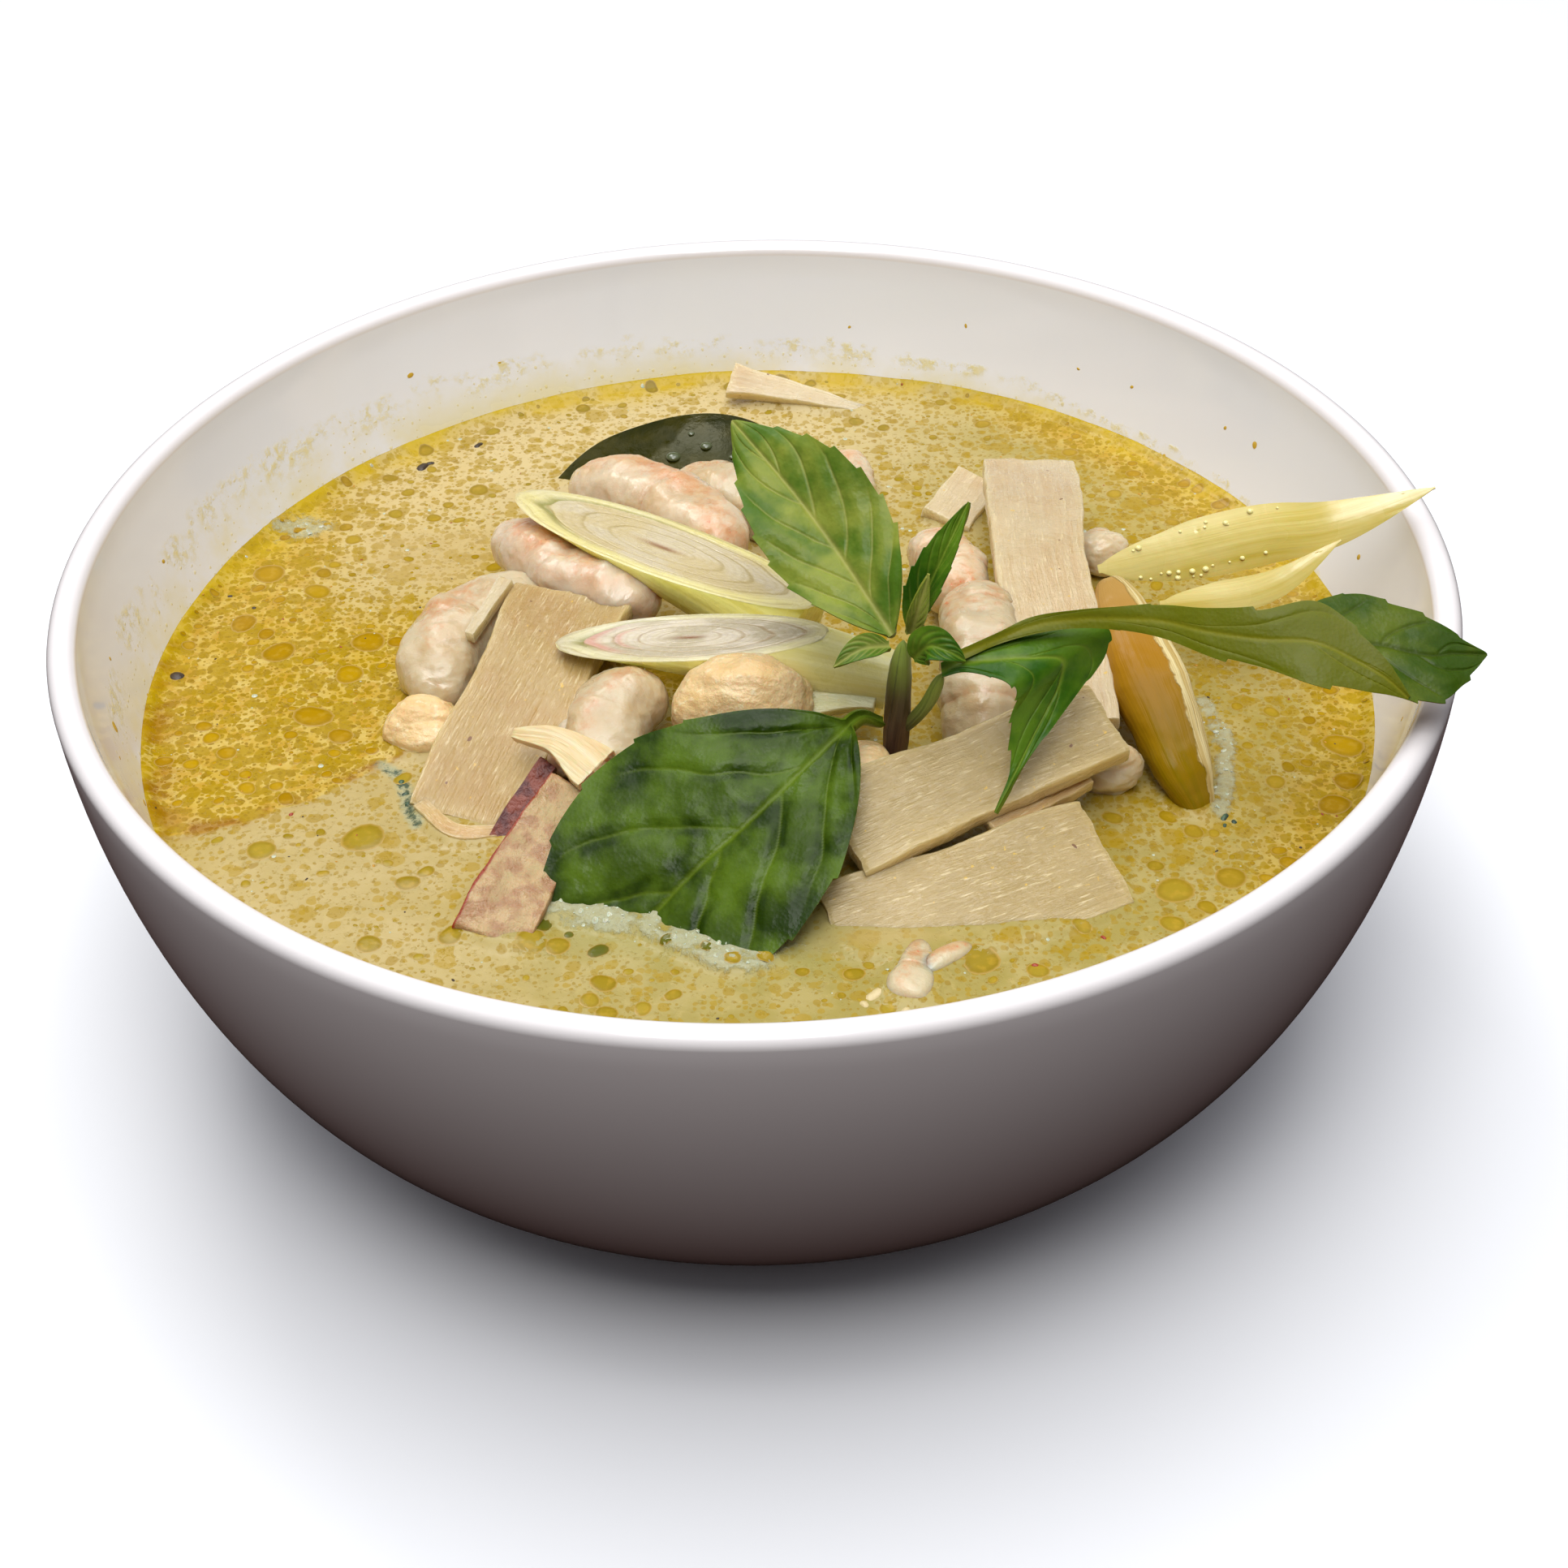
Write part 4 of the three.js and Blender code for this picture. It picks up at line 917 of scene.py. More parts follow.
CHUNKS = {  # name: node, look, slot, then chunk's values
    "meat_centre": (
        "chicken_centre", chicken, "chicken", [-1.8, -16.6, 57], [8.6, 6.6, 6.4], -0.1, 21, 0.32, 120, 180,
    ),
    "meat_left": ("chicken_left", chicken, "chicken", [-41.4, -9.4, 50], [4.9, 4.4, 3.6], 0, 22),
    "meat_small": ("chicken_small", chicken, "chicken", [11.8, -26.6, 53.4], [4.6, 4.2, 4.4], 0, 23),
    "shrimp_back": ("prawn_back", gold_prawn, "prawn", [12.8, 43.4, 50.8], [4.6, 5, 3.4], 0, 11),
    "shrimp_beside": ("prawn_beside_bamboo", white_prawn, "prawn", [46.6, 22.6, 51.2], [4, 3.8, 3.4], 0, 12),
    "shrimp_under": ("prawn_under_bamboo", white_prawn, "prawn", [41.6, -24.6, 51.8], [3.2, 2.6, 3.6], 0, 13),
}
for name, (node, look, slot, *values) in CHUNKS.items():
    piece(name, chunk(*values), look, [node])

# %% [markdown]
# ## Slices
# Bamboo shoot comes as flat slices cut along the fibre. A slice is a slab on a rib: square edges that
# are only a little worn, long fine fibres that the cut left standing, shallow dents and a few pores.
# The same slab, thinner, makes the onion shred and the fish, with other materials.

# %% A slab on a rib
def slab(rib, faces, width, thick=2.6, wave=0.0, seed=1, fibre=0.05, dent=0.1, rows=150, columns=76):
    """Half width w(u) (1 + 0.03 sin(9u + w0)); the two faces lie at v from -0.96 to 0.96 and the edges
    round over between them. Fibres are noise with cells 14 mm long and 0.45 mm wide, dents with 5 mm."""
    u = np.linspace(0, 1, rows)
    place, along, up, side, length = frames(rib, faces, u)
    half = listed(width, u) * (1 + 0.03 * np.sin(9 * u + width[0]))
    face_v = np.linspace(-0.96, 0.96, columns)
    edge_v, edge_h = np.array([0.985, 1, 1, 0.985]), np.array([0.92, 0.6, -0.6, -0.92])
    v = np.concatenate([face_v, edge_v, -face_v, -edge_v[::-1]])
    h = np.concatenate([np.ones(columns), edge_h, -np.ones(columns), edge_h[::-1]])
    out = half[:, None] * v
    end = 1 - 0.15 * bell(u, 0.01) - 0.15 * bell(1 - u, 0.01)
    run = np.stack(np.broadcast_arrays((u * length)[:, None], out, h[None] * 2 + seed * 5.1), -1)
    rough = fibre * noise(run, (14, 0.45, 1.5), seed, 3) + dent * noise(run, (6, 4, 9), seed + 1, 3)
    ragged = 1 + 0.13 * noise(run * [1, 0, 1], (3.5, 1, 9), seed + 2, 4) / half[:, None]
    up_by = h * thick / 2 * end[:, None] + wave * np.sin(3 * np.pi * u)[:, None] * v**2 + rough * np.sign(h)
    shift = 0.2 * noise(run * [0, 1, 1], (1, 2.2, 9), seed + 3, 4) * (2 * u[:, None] - 1) ** 8
    points = place[:, None] + side[:, None] * (out * ragged)[..., None] + up[:, None] * up_by[..., None]
    points = points + along[:, None] * shift[..., None]
    edge = np.maximum(np.abs(v)[None] ** 12, np.abs(2 * u - 1)[:, None] ** 30)
    return skin(points, caps=True, grain=run, edge=edge, across=v[None] + 0 * u[:, None], share=u[:, None])


# %% The finish of bamboo shoot
def bamboo_material(name, base, light, blotch, shine=0.3):
    """Translucent cream with faint fibres, soaked yellow blotches and a few brown pores. Short pale dashes
    along the fibres are painted glints that the relief also raises, and the edges are painted paler as light
    on the shaded side faces."""
    made, w, wire = material(
        name, Roughness=shine, Subsurface_Weight=0.5, Subsurface_Scale=0.004, Coat_Weight=0.5,
        Coat_Roughness=0.06, Subsurface_Radius=(1.0, 0.85, 0.55),
    )
    place, grain = w.place(), w.field("grain", "Vector")
    strands = w.strands(grain, 0.6, 16.0)
    body = w.mottled(place, 110.0, base, light, 0.38, 0.62)
    body = w.mix(w.times(w.step(strands["Height"], 0.46, 0.6), 0.6), body, light)
    body = w.mix(w.times(w.step(w.noise(place, 330, 5.0, 0.65), 0.6, 0.74), 0.4), body, blotch)
    body = w.mix(w.times(w.step(strands["Streak"], 0.42, 0.3), 0.1), body, blotch)
    specks = w.step(w.noise(place, 900, 2.0), 0.7, 0.76)
    body = w.mix(w.times(specks, 0.7), body, (228, 186, 60))
    dashes = w.strands(grain, 0.3, 2.2)
    # Painted glints: short pale dashes along the fibres.
    body = w.mix(w.times(w.step(dashes["Height"], 0.56, 0.7), 0.5), body, (240, 222, 176))
    # Painted light: the edges are paler, so that the side faces do not show their shade.
    body = w.mix(w.times(w.field("edge"), 0.4), body, (236, 210, 154))
    flecks = w.beaded(place, 5.5, 0.06, 0.25)
    body = w.mix(w.times(flecks["Mask"], 0.85), body, (110, 60, 26))
    wire("Base Color", body)
    moist = w.moist(place, 1200.0, shine)
    wire("Roughness", moist["Roughness"])
    relief = w.plus(w.times(strands["Height"], 0.7), dashes["Height"], w.times(moist["Height"], 0.5))
    wire("Normal", w.bump(relief, 0.26, 0.8))
    wire("Coat Normal", w.bump(w.plus(w.noise(place, 2400, 3.0), dashes["Height"]), 0.4, 0.9))
    return made


cream_shoot = bamboo_material("bamboo cream", (202, 174, 129), (210, 189, 148), (197, 162, 89))
peach_shoot = bamboo_material("bamboo peach", (177, 142, 81), (182, 152, 92), (175, 138, 42), 0.22)
# The grey copy is darker and greyer than the cream one: partly the front slices' own greenish tint, partly
# painted shade where they lie.
grey_shoot_painted_shade = bamboo_material("bamboo grey painted shade", (169, 145, 88), (180, 156, 101), (165, 132, 53), 0.24)
warm_shoot = bamboo_material("bamboo warm", (196, 154, 91), (208, 172, 115), (185, 134, 62), 0.3)

# %% The slices of bamboo shoot
SLICES = {  # name: look, half width, thickness, wave, faces, rib
    "front_upper": (
        grey_shoot_painted_shade, [6.4, 5.2], 2.6, 0.5, [[0, -0.33, 0.94]], [
            [9.1, -37.2, 53.8], [25, -30.6, 56.8], [41, -24.1, 58.8],
        ],
    ),
    "front_middle": (warm_shoot, [2, 1.6], 2, 0, [[0, -0.33, 0.94]], [[26, -35.4, 52.8], [38, -28.6, 54.4]]),
    "front_lower": (
        grey_shoot_painted_shade, [7.2, 7.4], 2.6, 0.4, [[0, -0.36, 0.93]],
        [[8.3, -49.4, 47.8], [24, -44.8, 49.8], [39.4, -38.9, 50.9]],
    ),
    "back": (
        cream_shoot, [6.3, 5.8], 2.6, 0, [[0, -0.25, 0.97], [0, -0.3, 0.95]],
        [[37.8, 36.6, 56.6], [37, 21, 59.6], [36.2, 7.9, 60.2], [36.8, -6, 58.6], [37.2, -20.4, 55.6]],
    ),
    "back_low": (cream_shoot, [3.2, 3.6], 2.6, 0, [[0.1, -0.2, 0.97]], [[31.6, 43, 50.6], [26.4, 34, 49.4]]),
    "far_edge": (
        cream_shoot, [2.6, 0.9], 1.6, 0, [[0, -0.45, 0.9], [0, -0.1, 1]],
        [[-2.6, 70.6, 52], [7, 68.6, 50.4], [17, 65.6, 48.7]],
    ),
    "left": (
        peach_shoot, [7.9, 6.4], 2.6, 0.6, [[-0.08, -0.24, 0.96], [-0.08, -0.3, 0.95]],
        [[-22.8, 6.2, 57.8], [-28.6, -10.2, 55], [-36.2, -26.4, 48.6]],
    ),
    "left_strip": (
        cream_shoot, [1, 0.7], 1.6, 0, [[-0.1, -0.3, 0.95]], [[-31.4, 8, 59.4], [-35.6, -1.4, 57.6]],
    ),
    "curl": (
        warm_shoot, [0.9, 0.9], 1.5, 0, [[0, -0.3, 0.95]],
        [[-40.6, -24.4, 49.6], [-36, -29.6, 49.4], [-30.4, -29.6, 49]],
    ),
}
for k, (name, (look, width, thick, wave, faces, rib)) in enumerate(SLICES.items()):
    rows, columns = 190 if len(rib) > 2 else 90, max(24, int(width[0] * 12))
    made = slab(rib, faces, width, thick, wave, 51 + k, rows=rows, columns=columns)
    piece("shoot_" + name, made, look, ["bamboo_" + name], 60)

# %% The onion shred, the fish and its skin
onion, w, wire = material("onion", Roughness=0.2, Subsurface_Weight=0.5, Subsurface_Scale=0.002)
strands = w.strands(w.field("grain", "Vector"), 0.7, 9.0)
wire("Base Color", w.mix(w.step(strands["Streak"], 0.4, 0.6), (215, 190, 136), (226, 211, 169)))
wire("Normal", w.bump(strands["Height"], 0.25))
rib = [[-29, -20.6, 56.8], [-24, -22.8, 57.4], [-19, -27.6, 56.6]]
made = slab(rib, [[0, -0.45, 0.88]], [0.6, 3.1], 1.3, 0, 71, dent=0.15, rows=90, columns=40)
piece("shred", made, onion, ["onion_shred"], 60)

fish, w, wire = material("fish", Roughness=0.38, Subsurface_Weight=0.3, Subsurface_Scale=0.002)
place = w.place()
flesh = w.mix(
    w.times(w.field("edge"), 0.3), w.mottled(place, 420.0, (190, 160, 112), (168, 126, 86)),
    (160, 112, 73),
)
flesh = w.mix(w.times(w.step(w.noise(place, 300, 4.0), 0.5, 0.64), 0.6), flesh, (182, 160, 111))
red_edge = w.step(w.plus(w.field("across"), w.times(w.noise(place, 400), 0.16)), 0.96, 1.02)
flesh = w.mix(red_edge, flesh, (146, 57, 30))
wire("Base Color", flesh)
moist = w.moist(place, 1500.0, 0.4)
wire("Roughness", moist["Roughness"])
wire("Normal", w.bump(moist["Height"], 0.4, 0.9))
rib = [[-22, -27.4, 53.4], [-26.6, -37.4, 51], [-31, -47.6, 47.6]]
made = slab(rib, [[0.1, -0.3, 0.95]], [3, 4.8], 4, 0.5, 72, fibre=0.03, dent=0.35, rows=140, columns=80)
piece("fillet", made, fish, ["fish_piece"], 60)

red, w, wire = material("red skin", Roughness=0.3)
wire("Base Color", w.mottled(w.place(), 500.0, (83, 28, 20), (129, 59, 36)))
wire("Normal", w.bump(w.moist(w.place(), 1500.0)["Height"], 0.3))
rib = [[-25, -22.6, 54], [-28, -26.4, 51.6], [-31, -30.6, 48.6]]
made = slab(rib, [[0.2, -0.3, 0.93]], [1.1, 1.3], 1.6, 0, 73, fibre=0.05, dent=0.2, rows=70, columns=24)
piece("fillet_skin", made, red, ["fish_skin"], 60)

# %% [markdown]
# ## Lemongrass
# Lemongrass is a stalk of tightly rolled layers. Cut slantwise, it shows long oval rings: pale yellow
# layers, a thin darker line between two of them, a brown slit in the middle, and pink where the stalk
# grew in the sun. The cut face, the rind and the far end are one grid of rings that run outwards over
# the face and then along the stalk, so the layers can open a little without a second piece.

# %% A stalk cut slantwise
def stalk(tip, end, radius, length, seed=1, open_from=0.5, pink=0.0, face_rows=90, columns=180):
    """The cut face runs from tip to end. Ring by ring, a point of the face at share p of the radius is
    middle + axis slant p cos(turn) + r p (top cos(turn) + side sin(turn)); along the rind it runs from
    slant cos(turn) to the length. Layers end where 5.2 p is whole; there the face is grooved."""
    tip, end = np.array(tip, float), np.array(end, float)
    face = end - tip
    slant = np.sqrt(face @ face / 4 - radius[0] ** 2)
    lean = np.arctan2(radius[0], slant)
    way = face / np.linalg.norm(face)
    high = unit(np.array([0, 0, 1.0]) - way * way[2])
    axis = way * np.cos(lean) - high * np.sin(lean)
    top = way * np.sin(lean) + high * np.cos(lean)
    side = np.cross(axis, top)
    p = np.concatenate([np.linspace(0, 1, face_rows), np.ones(40), [0.93, 0.7, 0]])[:, None]
    w = np.concatenate([np.zeros(face_rows), np.linspace(0.01, 1, 40), [1, 1, 1]])[:, None]
    turn = np.linspace(0, 2 * np.pi, columns, endpoint=False)[None]
    r = (radius[0] * (1 - w) + radius[1] * w) * p
    start = slant * np.cos(turn) * p
    depth = np.where(np.arange(len(p)) < face_rows, 0.0, 1.0)[:, None]
    reach = start * (1 - w) + length * w
    ring_place = np.stack([p * np.cos(turn) * 3, p * np.sin(turn) * 3, 0 * p * turn + seed], -1)
    waver = 0.07 * noise(ring_place, 1.4, seed, 2) + 0.1 * np.cos(turn - 2.2) * p * (1 - p)
    layer = (p + waver) * 5.2
    on_face = 1 - depth
    line = bell(layer - np.round(layer), 0.07) * smooth(p, 0.16, 0.3) * smooth(p, 1.0, 0.93) * on_face
    hair = bell((layer * 3.4) % 1 - 0.5, 0.16) * smooth(p, 0.1, 0.3) * on_face
    gape = bell(layer - 4.2, 0.16) * smooth(np.cos(turn - np.pi - 0.4), open_from, 1.0) * on_face
    core = bell(p * np.cos(turn) / 0.2, 0.6) * bell(p * np.sin(turn) / 0.07, 1.0) * on_face
    step = 0.12 * ((layer % 1) - 0.5) * smooth(p, 0.15, 0.4) * on_face
    sunk = step - 0.12 * line - 0.04 * hair - 1.0 * gape - 0.4 * core
    sunk = sunk - 0.35 * smooth(p, 0.94, 1.0) ** 2 * on_face
    sunk = sunk + 0.05 * noise(ring_place, 0.3, seed + 4, 3) * on_face
    rind = np.stack([reach, 0 * reach + turn * radius[0], 0 * reach + seed], -1)
    fibre = (0.04 * noise(rind, (16, 0.7, 1), seed + 1, 3)) * depth * (p > 0.99)
    bend = 0.15 * noise(rind, (12, 7, 1), seed + 2, 2) * depth * (p > 0.99)
    middle = (tip + end) / 2
    r = r + fibre + bend
    points = middle + axis * (reach - sunk)[..., None] + top * (r * np.cos(turn))[..., None]
    points = points + side * (r * np.sin(turn))[..., None]
    at_tip = smooth(np.cos(turn - np.pi) * pink, 0.5, 0.95)
    blush = np.maximum(bell(layer - 3.75, 0.26), 0.7 * bell(layer - 2.8, 0.14)) * at_tip * on_face
    fields = {"line": line, "hair": hair, "core": core, "gape": gape, "pink": blush, "grain": rind}
    fields["rind"] = depth + 0 * p
    fields["outer"] = smooth(layer, 3.6, 5.0) * on_face
    return skin(points, tone=noise(ring_place, 0.9, seed + 5, 3), **fields)


# %% The finish of lemongrass
def lemongrass_material(name, face, light, line, rind, rind_dark, pink=(210, 140, 120)):
    """The face's layers by their fields, and a smooth rind with faint fibres."""
    made, w, wire = material(
        name, Roughness=0.3, Subsurface_Weight=0.5, Subsurface_Scale=0.004,
        Subsurface_Radius=(1.0, 1.0, 0.5),
    )
    place, grain = w.place(), w.field("grain", "Vector")
    cut = w.mix(w.step(w.field("tone"), -0.4, 0.5), face, light)
    cut = w.mix(w.times(w.step(w.noise(place, 1800, 3.0), 0.5, 0.68), 0.25), cut, light)
    cut = w.mix(w.times(w.field("outer"), 0.6), cut, rind)
    cut = w.mix(w.times(w.field("hair"), 0.2), cut, line)
    cut = w.mix(w.times(w.field("line"), 0.65), cut, line)
    cut = w.mix(w.times(w.field("pink"), 0.75), cut, pink)
    # Painted shade: dark olive in the gap where the outer layers open.
    cut = w.mix(w.times(w.field("gape"), 0.8), cut, (128, 128, 48))
    cut = w.mix(w.times(w.field("core"), 0.8), cut, (140, 84, 44))
    strands = w.strands(grain, 0.5, 16.0)
    bark = w.mix(w.step(strands["Streak"], 0.36, 0.62), rind_dark, rind)
    wire("Base Color", w.mix(w.field("rind"), cut, bark))
    moist = w.moist(place, 1300.0, 0.3)
    wire("Roughness", moist["Roughness"])
    wire("Normal", w.bump(w.plus(w.times(strands["Height"], 0.5), moist["Height"]), 0.14, 0.6))
    return made


lower = lemongrass_material(
    "lemongrass white", (192, 180, 150), (218, 206, 180), (168, 140, 96), (248, 240, 170), (240, 230, 146), (
        214, 150, 132,
    )
)
upper = lemongrass_material(
    "lemongrass yellow", (204, 186, 140), (208, 194, 160), (170, 148, 84), (250, 240, 150), (246, 232, 130)
)
made = stalk([-25, -4.9, 59], [8.4, -11.4, 64], [5, 3.6], 25, 81, pink=1.0)
piece("stalk_lower", made, lower, ["lemongrass_lower"], 60)
made = stalk([-30.9, 23.6, 63], [7.2, -2.8, 62.2], [5.8, 5.2], 22, 82, open_from=-0.2)
piece("stalk_upper", made, upper, ["lemongrass_upper"], 60)

# %% The pale wedge under the lower slice, and the yellow sheath that reaches over the rim
wedge = slab(
    [[5.5, -14.5, 57], [10, -15, 57], [14.2, -16.2, 56.4]], [[0, -0.5, 0.85]], [3.4, 0.8], 1.8, 0, 83,
    rows=60, columns=40,
)
pale_rind = bamboo_material("wedge", (212, 205, 136), (224, 220, 164), (196, 190, 108))
piece("stalk_wedge", wedge, pale_rind, ["lemongrass_end"], 60)

yellow, w, wire = material(
    "sheath", Roughness=0.2, Subsurface_Weight=0.2, Subsurface_Scale=0.002, Coat_Weight=0.8,
    Coat_Roughness=0.16,
)
grain, place = w.field("grain", "Vector"), w.place()
strands = w.strands(grain, 0.55, 20.0)
body = w.mix(w.step(strands["Streak"], 0.36, 0.64), (208, 186, 78), (222, 204, 116))
body = w.mix(w.times(w.step(w.noise(place, 60, 3.0), 0.45, 0.65), 0.5), body, (227, 212, 140))
body = w.mix(w.times(w.field("rim"), 0.3), body, (192, 169, 72))
wire("Base Color", body)
wire("Roughness", w.moist(place, 500.0, 0.26)["Roughness"])
wire("Normal", w.bump(strands["Height"], 0.08, 0.7))
SHEATH_ROWS, SHEATH_COLUMNS = 180, 60
bare = {"veins": 0.01, "teeth": 0, "thick": 0.7, "midrib": 0.0}
half = leaf_half(np.linspace(0, 1, SHEATH_ROWS), [3.4, 4.2])
rib = [[43.4, 5.6, 60.4], [53, 4.6, 63.4], [63.5, 3, 67], [70.2, 0.4, 69.6], [83, 1, 74]]
faces = [[0.1, -0.75, 0.65], [-0.2, -0.7, 0.7]]
main = leaf_skin(ribbed(rib, faces, half, SHEATH_COLUMNS, -0.3, soft=2.4), puff=0.08, seed=84, **bare)
half = leaf_half(np.linspace(0, 1, 120), [2, 2])
rib = [[50.3, -1.6, 59.6], [62.8, -4.2, 63.6], [71.5, -2.4, 69]]
strip = leaf_skin(ribbed(rib, faces, half, 40, -0.25, soft=1.4), puff=0.06, seed=85, **bare)
sheath_points = main["points"].reshape(SHEATH_ROWS, 2 * SHEATH_COLUMNS, 3)
piece("sheath", join(main, strip), yellow, ["lemongrass_sheath"], 60)

# %% The amber piece that stands in the curry, with a pale fibrous ridge on its right, painted paler still as a highlight
amber, w, wire = material("amber stalk", Roughness=0.25, Specular_IOR_Level=0.12)
grain, place = w.field("grain", "Vector"), w.place()
strands = w.strands(grain, 0.4, 26.0)
body = w.mix(w.step(w.field("share"), 0.3, 0.9), (162, 112, 20), (132, 108, 0))
body = w.mix(w.times(w.step(strands["Streak"], 0.4, 0.62), 0.2), body, (172, 122, 26))
body = w.mix(w.times(w.step(w.field("share"), 0.45, 0.05), 0.8), body, (182, 144, 80))
ragged = w.plus(w.field("ridge"), w.times(w.plus(w.noise(place, 240, 4.0, 0.6), -0.5), 0.9))
ridge = w.step(ragged, 0.45, 0.6)
# The pale ridge is partly the stalk's own fibres and partly a painted highlight along its upper right.
pale = w.mix(w.step(strands["Height"], 0.4, 0.6), (190, 160, 92), (224, 206, 150))
wire("Base Color", w.mix(ridge, body, pale))
wire("Roughness", w.plus(0.22, w.times(ridge, 0.2)))
wire("Normal", w.bump(w.times(w.plus(strands["Height"], 0.3), w.plus(ridge, 0.25)), 0.4, 0.8))
points = [[44.2, 3.4, 60], [47, -13.2, 57], [48.8, -20.2, 54.5], [50.4, -25.8, 51.5], [53, -29.6, 45.5]]
rows, columns = 200, 110
made = plump(points, 4.6, (0.75, 0.85, 1.05, 0.8, 0.4), 0, 0.75, rows, columns, 86, 0.2)
turn = np.linspace(0, 2 * np.pi, columns, endpoint=False)
near_ridge = bell((turn - 2.24 + np.pi) % (2 * np.pi) - np.pi, 0.4)
made["fields"]["ridge"] = np.tile(near_ridge, rows + 4)[:, None]
rings = made["points"].reshape(rows + 4, columns, 3)
outwards = unit(rings - rings.mean(axis=1, keepdims=True)) * (0.5 * near_ridge[None, :, None])
outwards[[0, 1, -2, -1]] = 0
made["points"] = (rings + outwards).reshape(-1, 3)
piece("stalk_standing", made, amber, ["lemongrass_stalk"], 60)

# %% [markdown]
# ## The lime leaf
# The dark leaf at the back is stiff and glossy. It is nearly black where it is in shade, and its wet
# face mirrors the light, so a low roughness does most of the work.

# %% The lime leaf
lime, w, wire = material("lime leaf", Roughness=0.12, Specular_Tint=(0.9, 0.85, 0.5, 1))
place = w.place()
body = w.mix(
    w.times(w.field("vein"), 0.5), w.mottled(place, 130.0, (32, 34, 0), (54, 50, 4), 0.4, 0.66),
    (54, 49, 16),
)
body = w.mix(w.step(w.times(w.field("rim"), w.field("front")), 0.25, 0.7), body, (150, 150, 40))
wire("Base Color", w.mix(w.field("upper"), (60, 55, 19), body))
along = w.part(w.field("grain", "Vector"), "X")
puddle = w.plus(along, w.times(w.noise(place, 160, 2.0), 16.0), w.times(w.field("front"), 6.0))
puddle = w.step(puddle, 29.0, 31.0)
wire("Specular IOR Level", w.plus(0.05, w.times(puddle, 0.16)))
moist = w.moist(place, 900.0, 0.2)
wire("Roughness", moist["Roughness"])
wire("Normal", w.bump(moist["Height"], 0.15, 0.6))
rib = [[-29.4, 46.2, 48.4], [-21.6, 50.6, 50.8], [-12, 50.4, 53], [-2.2, 48.8, 54], [7, 45.4, 52.4]]
rows, columns = 150, 60
half = leaf_half(np.linspace(0, 1, rows), [5.6, 5.6], widest=0.6)
sheet = ribbed(rib, [[0, -0.3, 0.95]], half, columns, -0.12, soft=3.0)
made = leaf_skin(sheet, veins=0.01, teeth=0, puff=0.12, thick=0.5, seed=91, midrib=0.0)
front = np.linspace(0, 1, columns)
made["fields"]["front"] = np.tile(np.hstack([front, front[::-1]]), rows)[:, None]
lime_points = made["points"].reshape(rows, 2 * columns, 3)
piece("lime_leaf_dark", made, lime, ["lime_leaf"], 60)

# %% Drops of water on the lime leaf and along the yellow sheath
def balls(spots, radii, flat=0.6, rows=10, columns=16):
    """Small balls copied to all spots, pressed to a share `flat` of their height."""
    a, b = np.linspace(0, np.pi, rows)[:, None], np.linspace(0, 2 * np.pi, columns, endpoint=False)[None]
    ball = np.stack(np.broadcast_arrays(np.sin(a) * np.cos(b), np.sin(a) * np.sin(b), flat * np.cos(a)), -1)
    return join(*[skin(np.array(spot) + r * ball) for spot, r in zip(spots, radii)])


water, w, wire = material("water", Roughness=0.05, IOR=1.33, Coat_Weight=1.0)
# The clear drops are painted with what would show through them: pale yellow on the sheath, dark green on the
# lime leaf.
on_the_sheath = w.step(w.part(w.place(), "X"), 0.02, 0.03)
wire("Base Color", w.mix(on_the_sheath, (84, 90, 58), (240, 228, 152)))
spots = [lime_points[row, column] for row, column in ((78, 41), (96, 33), (87, 20), (112, 44))]
on_lime = balls(spots, [1.1, 0.9, 0.5, 0.5], 0.5)
rng = np.random.default_rng(92)
rows = rng.integers(20, 100, 26)
columns = np.where(rng.uniform(0, 1, 26) < 0.6, rng.integers(48, 57, 26), rng.integers(3, 14, 26))
on_sheath = balls(sheath_points[rows, columns], 0.18 + 0.25 * rng.uniform(0, 1, 26) ** 2, 0.8)
piece("water_drops", join(on_lime, on_sheath), water)

# %% [markdown]
# ## The curry
# The curry is thick and creamy, with coconut fat that has split from it. Fat gathers at the left in a
# dense mottled skin, and rides as separate amber drops elsewhere. The surface creeps up a little on
# the wall and on everything that stands in it. So the mesh is a disc of fine rings whose height is
# raised by two fields, nearness to the wall and nearness to food, and the fat is in the material.

# %% Where food breaks the surface
LATTICE, STEP = 360, 0.5
crowd = np.zeros((LATTICE, LATTICE))
leaf_line = np.zeros((LATTICE, LATTICE))
for thing in bpy.data.objects:
    if thing.type == "MESH" and thing.name not in frame["nodes"] and thing.name != "porcelain_bowl":
        flat = np.empty(len(thing.data.vertices) * 3, np.float32)
        thing.data.vertices.foreach_get("co", flat)
        spots = flat.reshape(-1, 3) / MM
        spots = spots[np.abs(spots[:, 2] - LEVEL) < 0.9]
        cells = np.clip((spots[:, :2] / STEP + LATTICE / 2).astype(int), 0, LATTICE - 1)
        crowd[cells[:, 0], cells[:, 1]] = 1
        if thing.name == "leaf_front":
            leaf_line[cells[:, 0], cells[:, 1]] = 1
print("food breaks the surface in", int(crowd.sum()), "cells of", STEP, "mm")


def blurred(lattice, cells):
    """Each cell becomes the mean of its neighbours under a bell of that many cells, one way at a time."""
    reach = np.arange(-3 * cells, 3 * cells + 1)
    weight = bell(reach, cells)
    for axis in (0, 1):
        lattice = sum(np.roll(lattice, k, axis) * share for k, share in zip(reach, weight / weight.sum()))
    return lattice


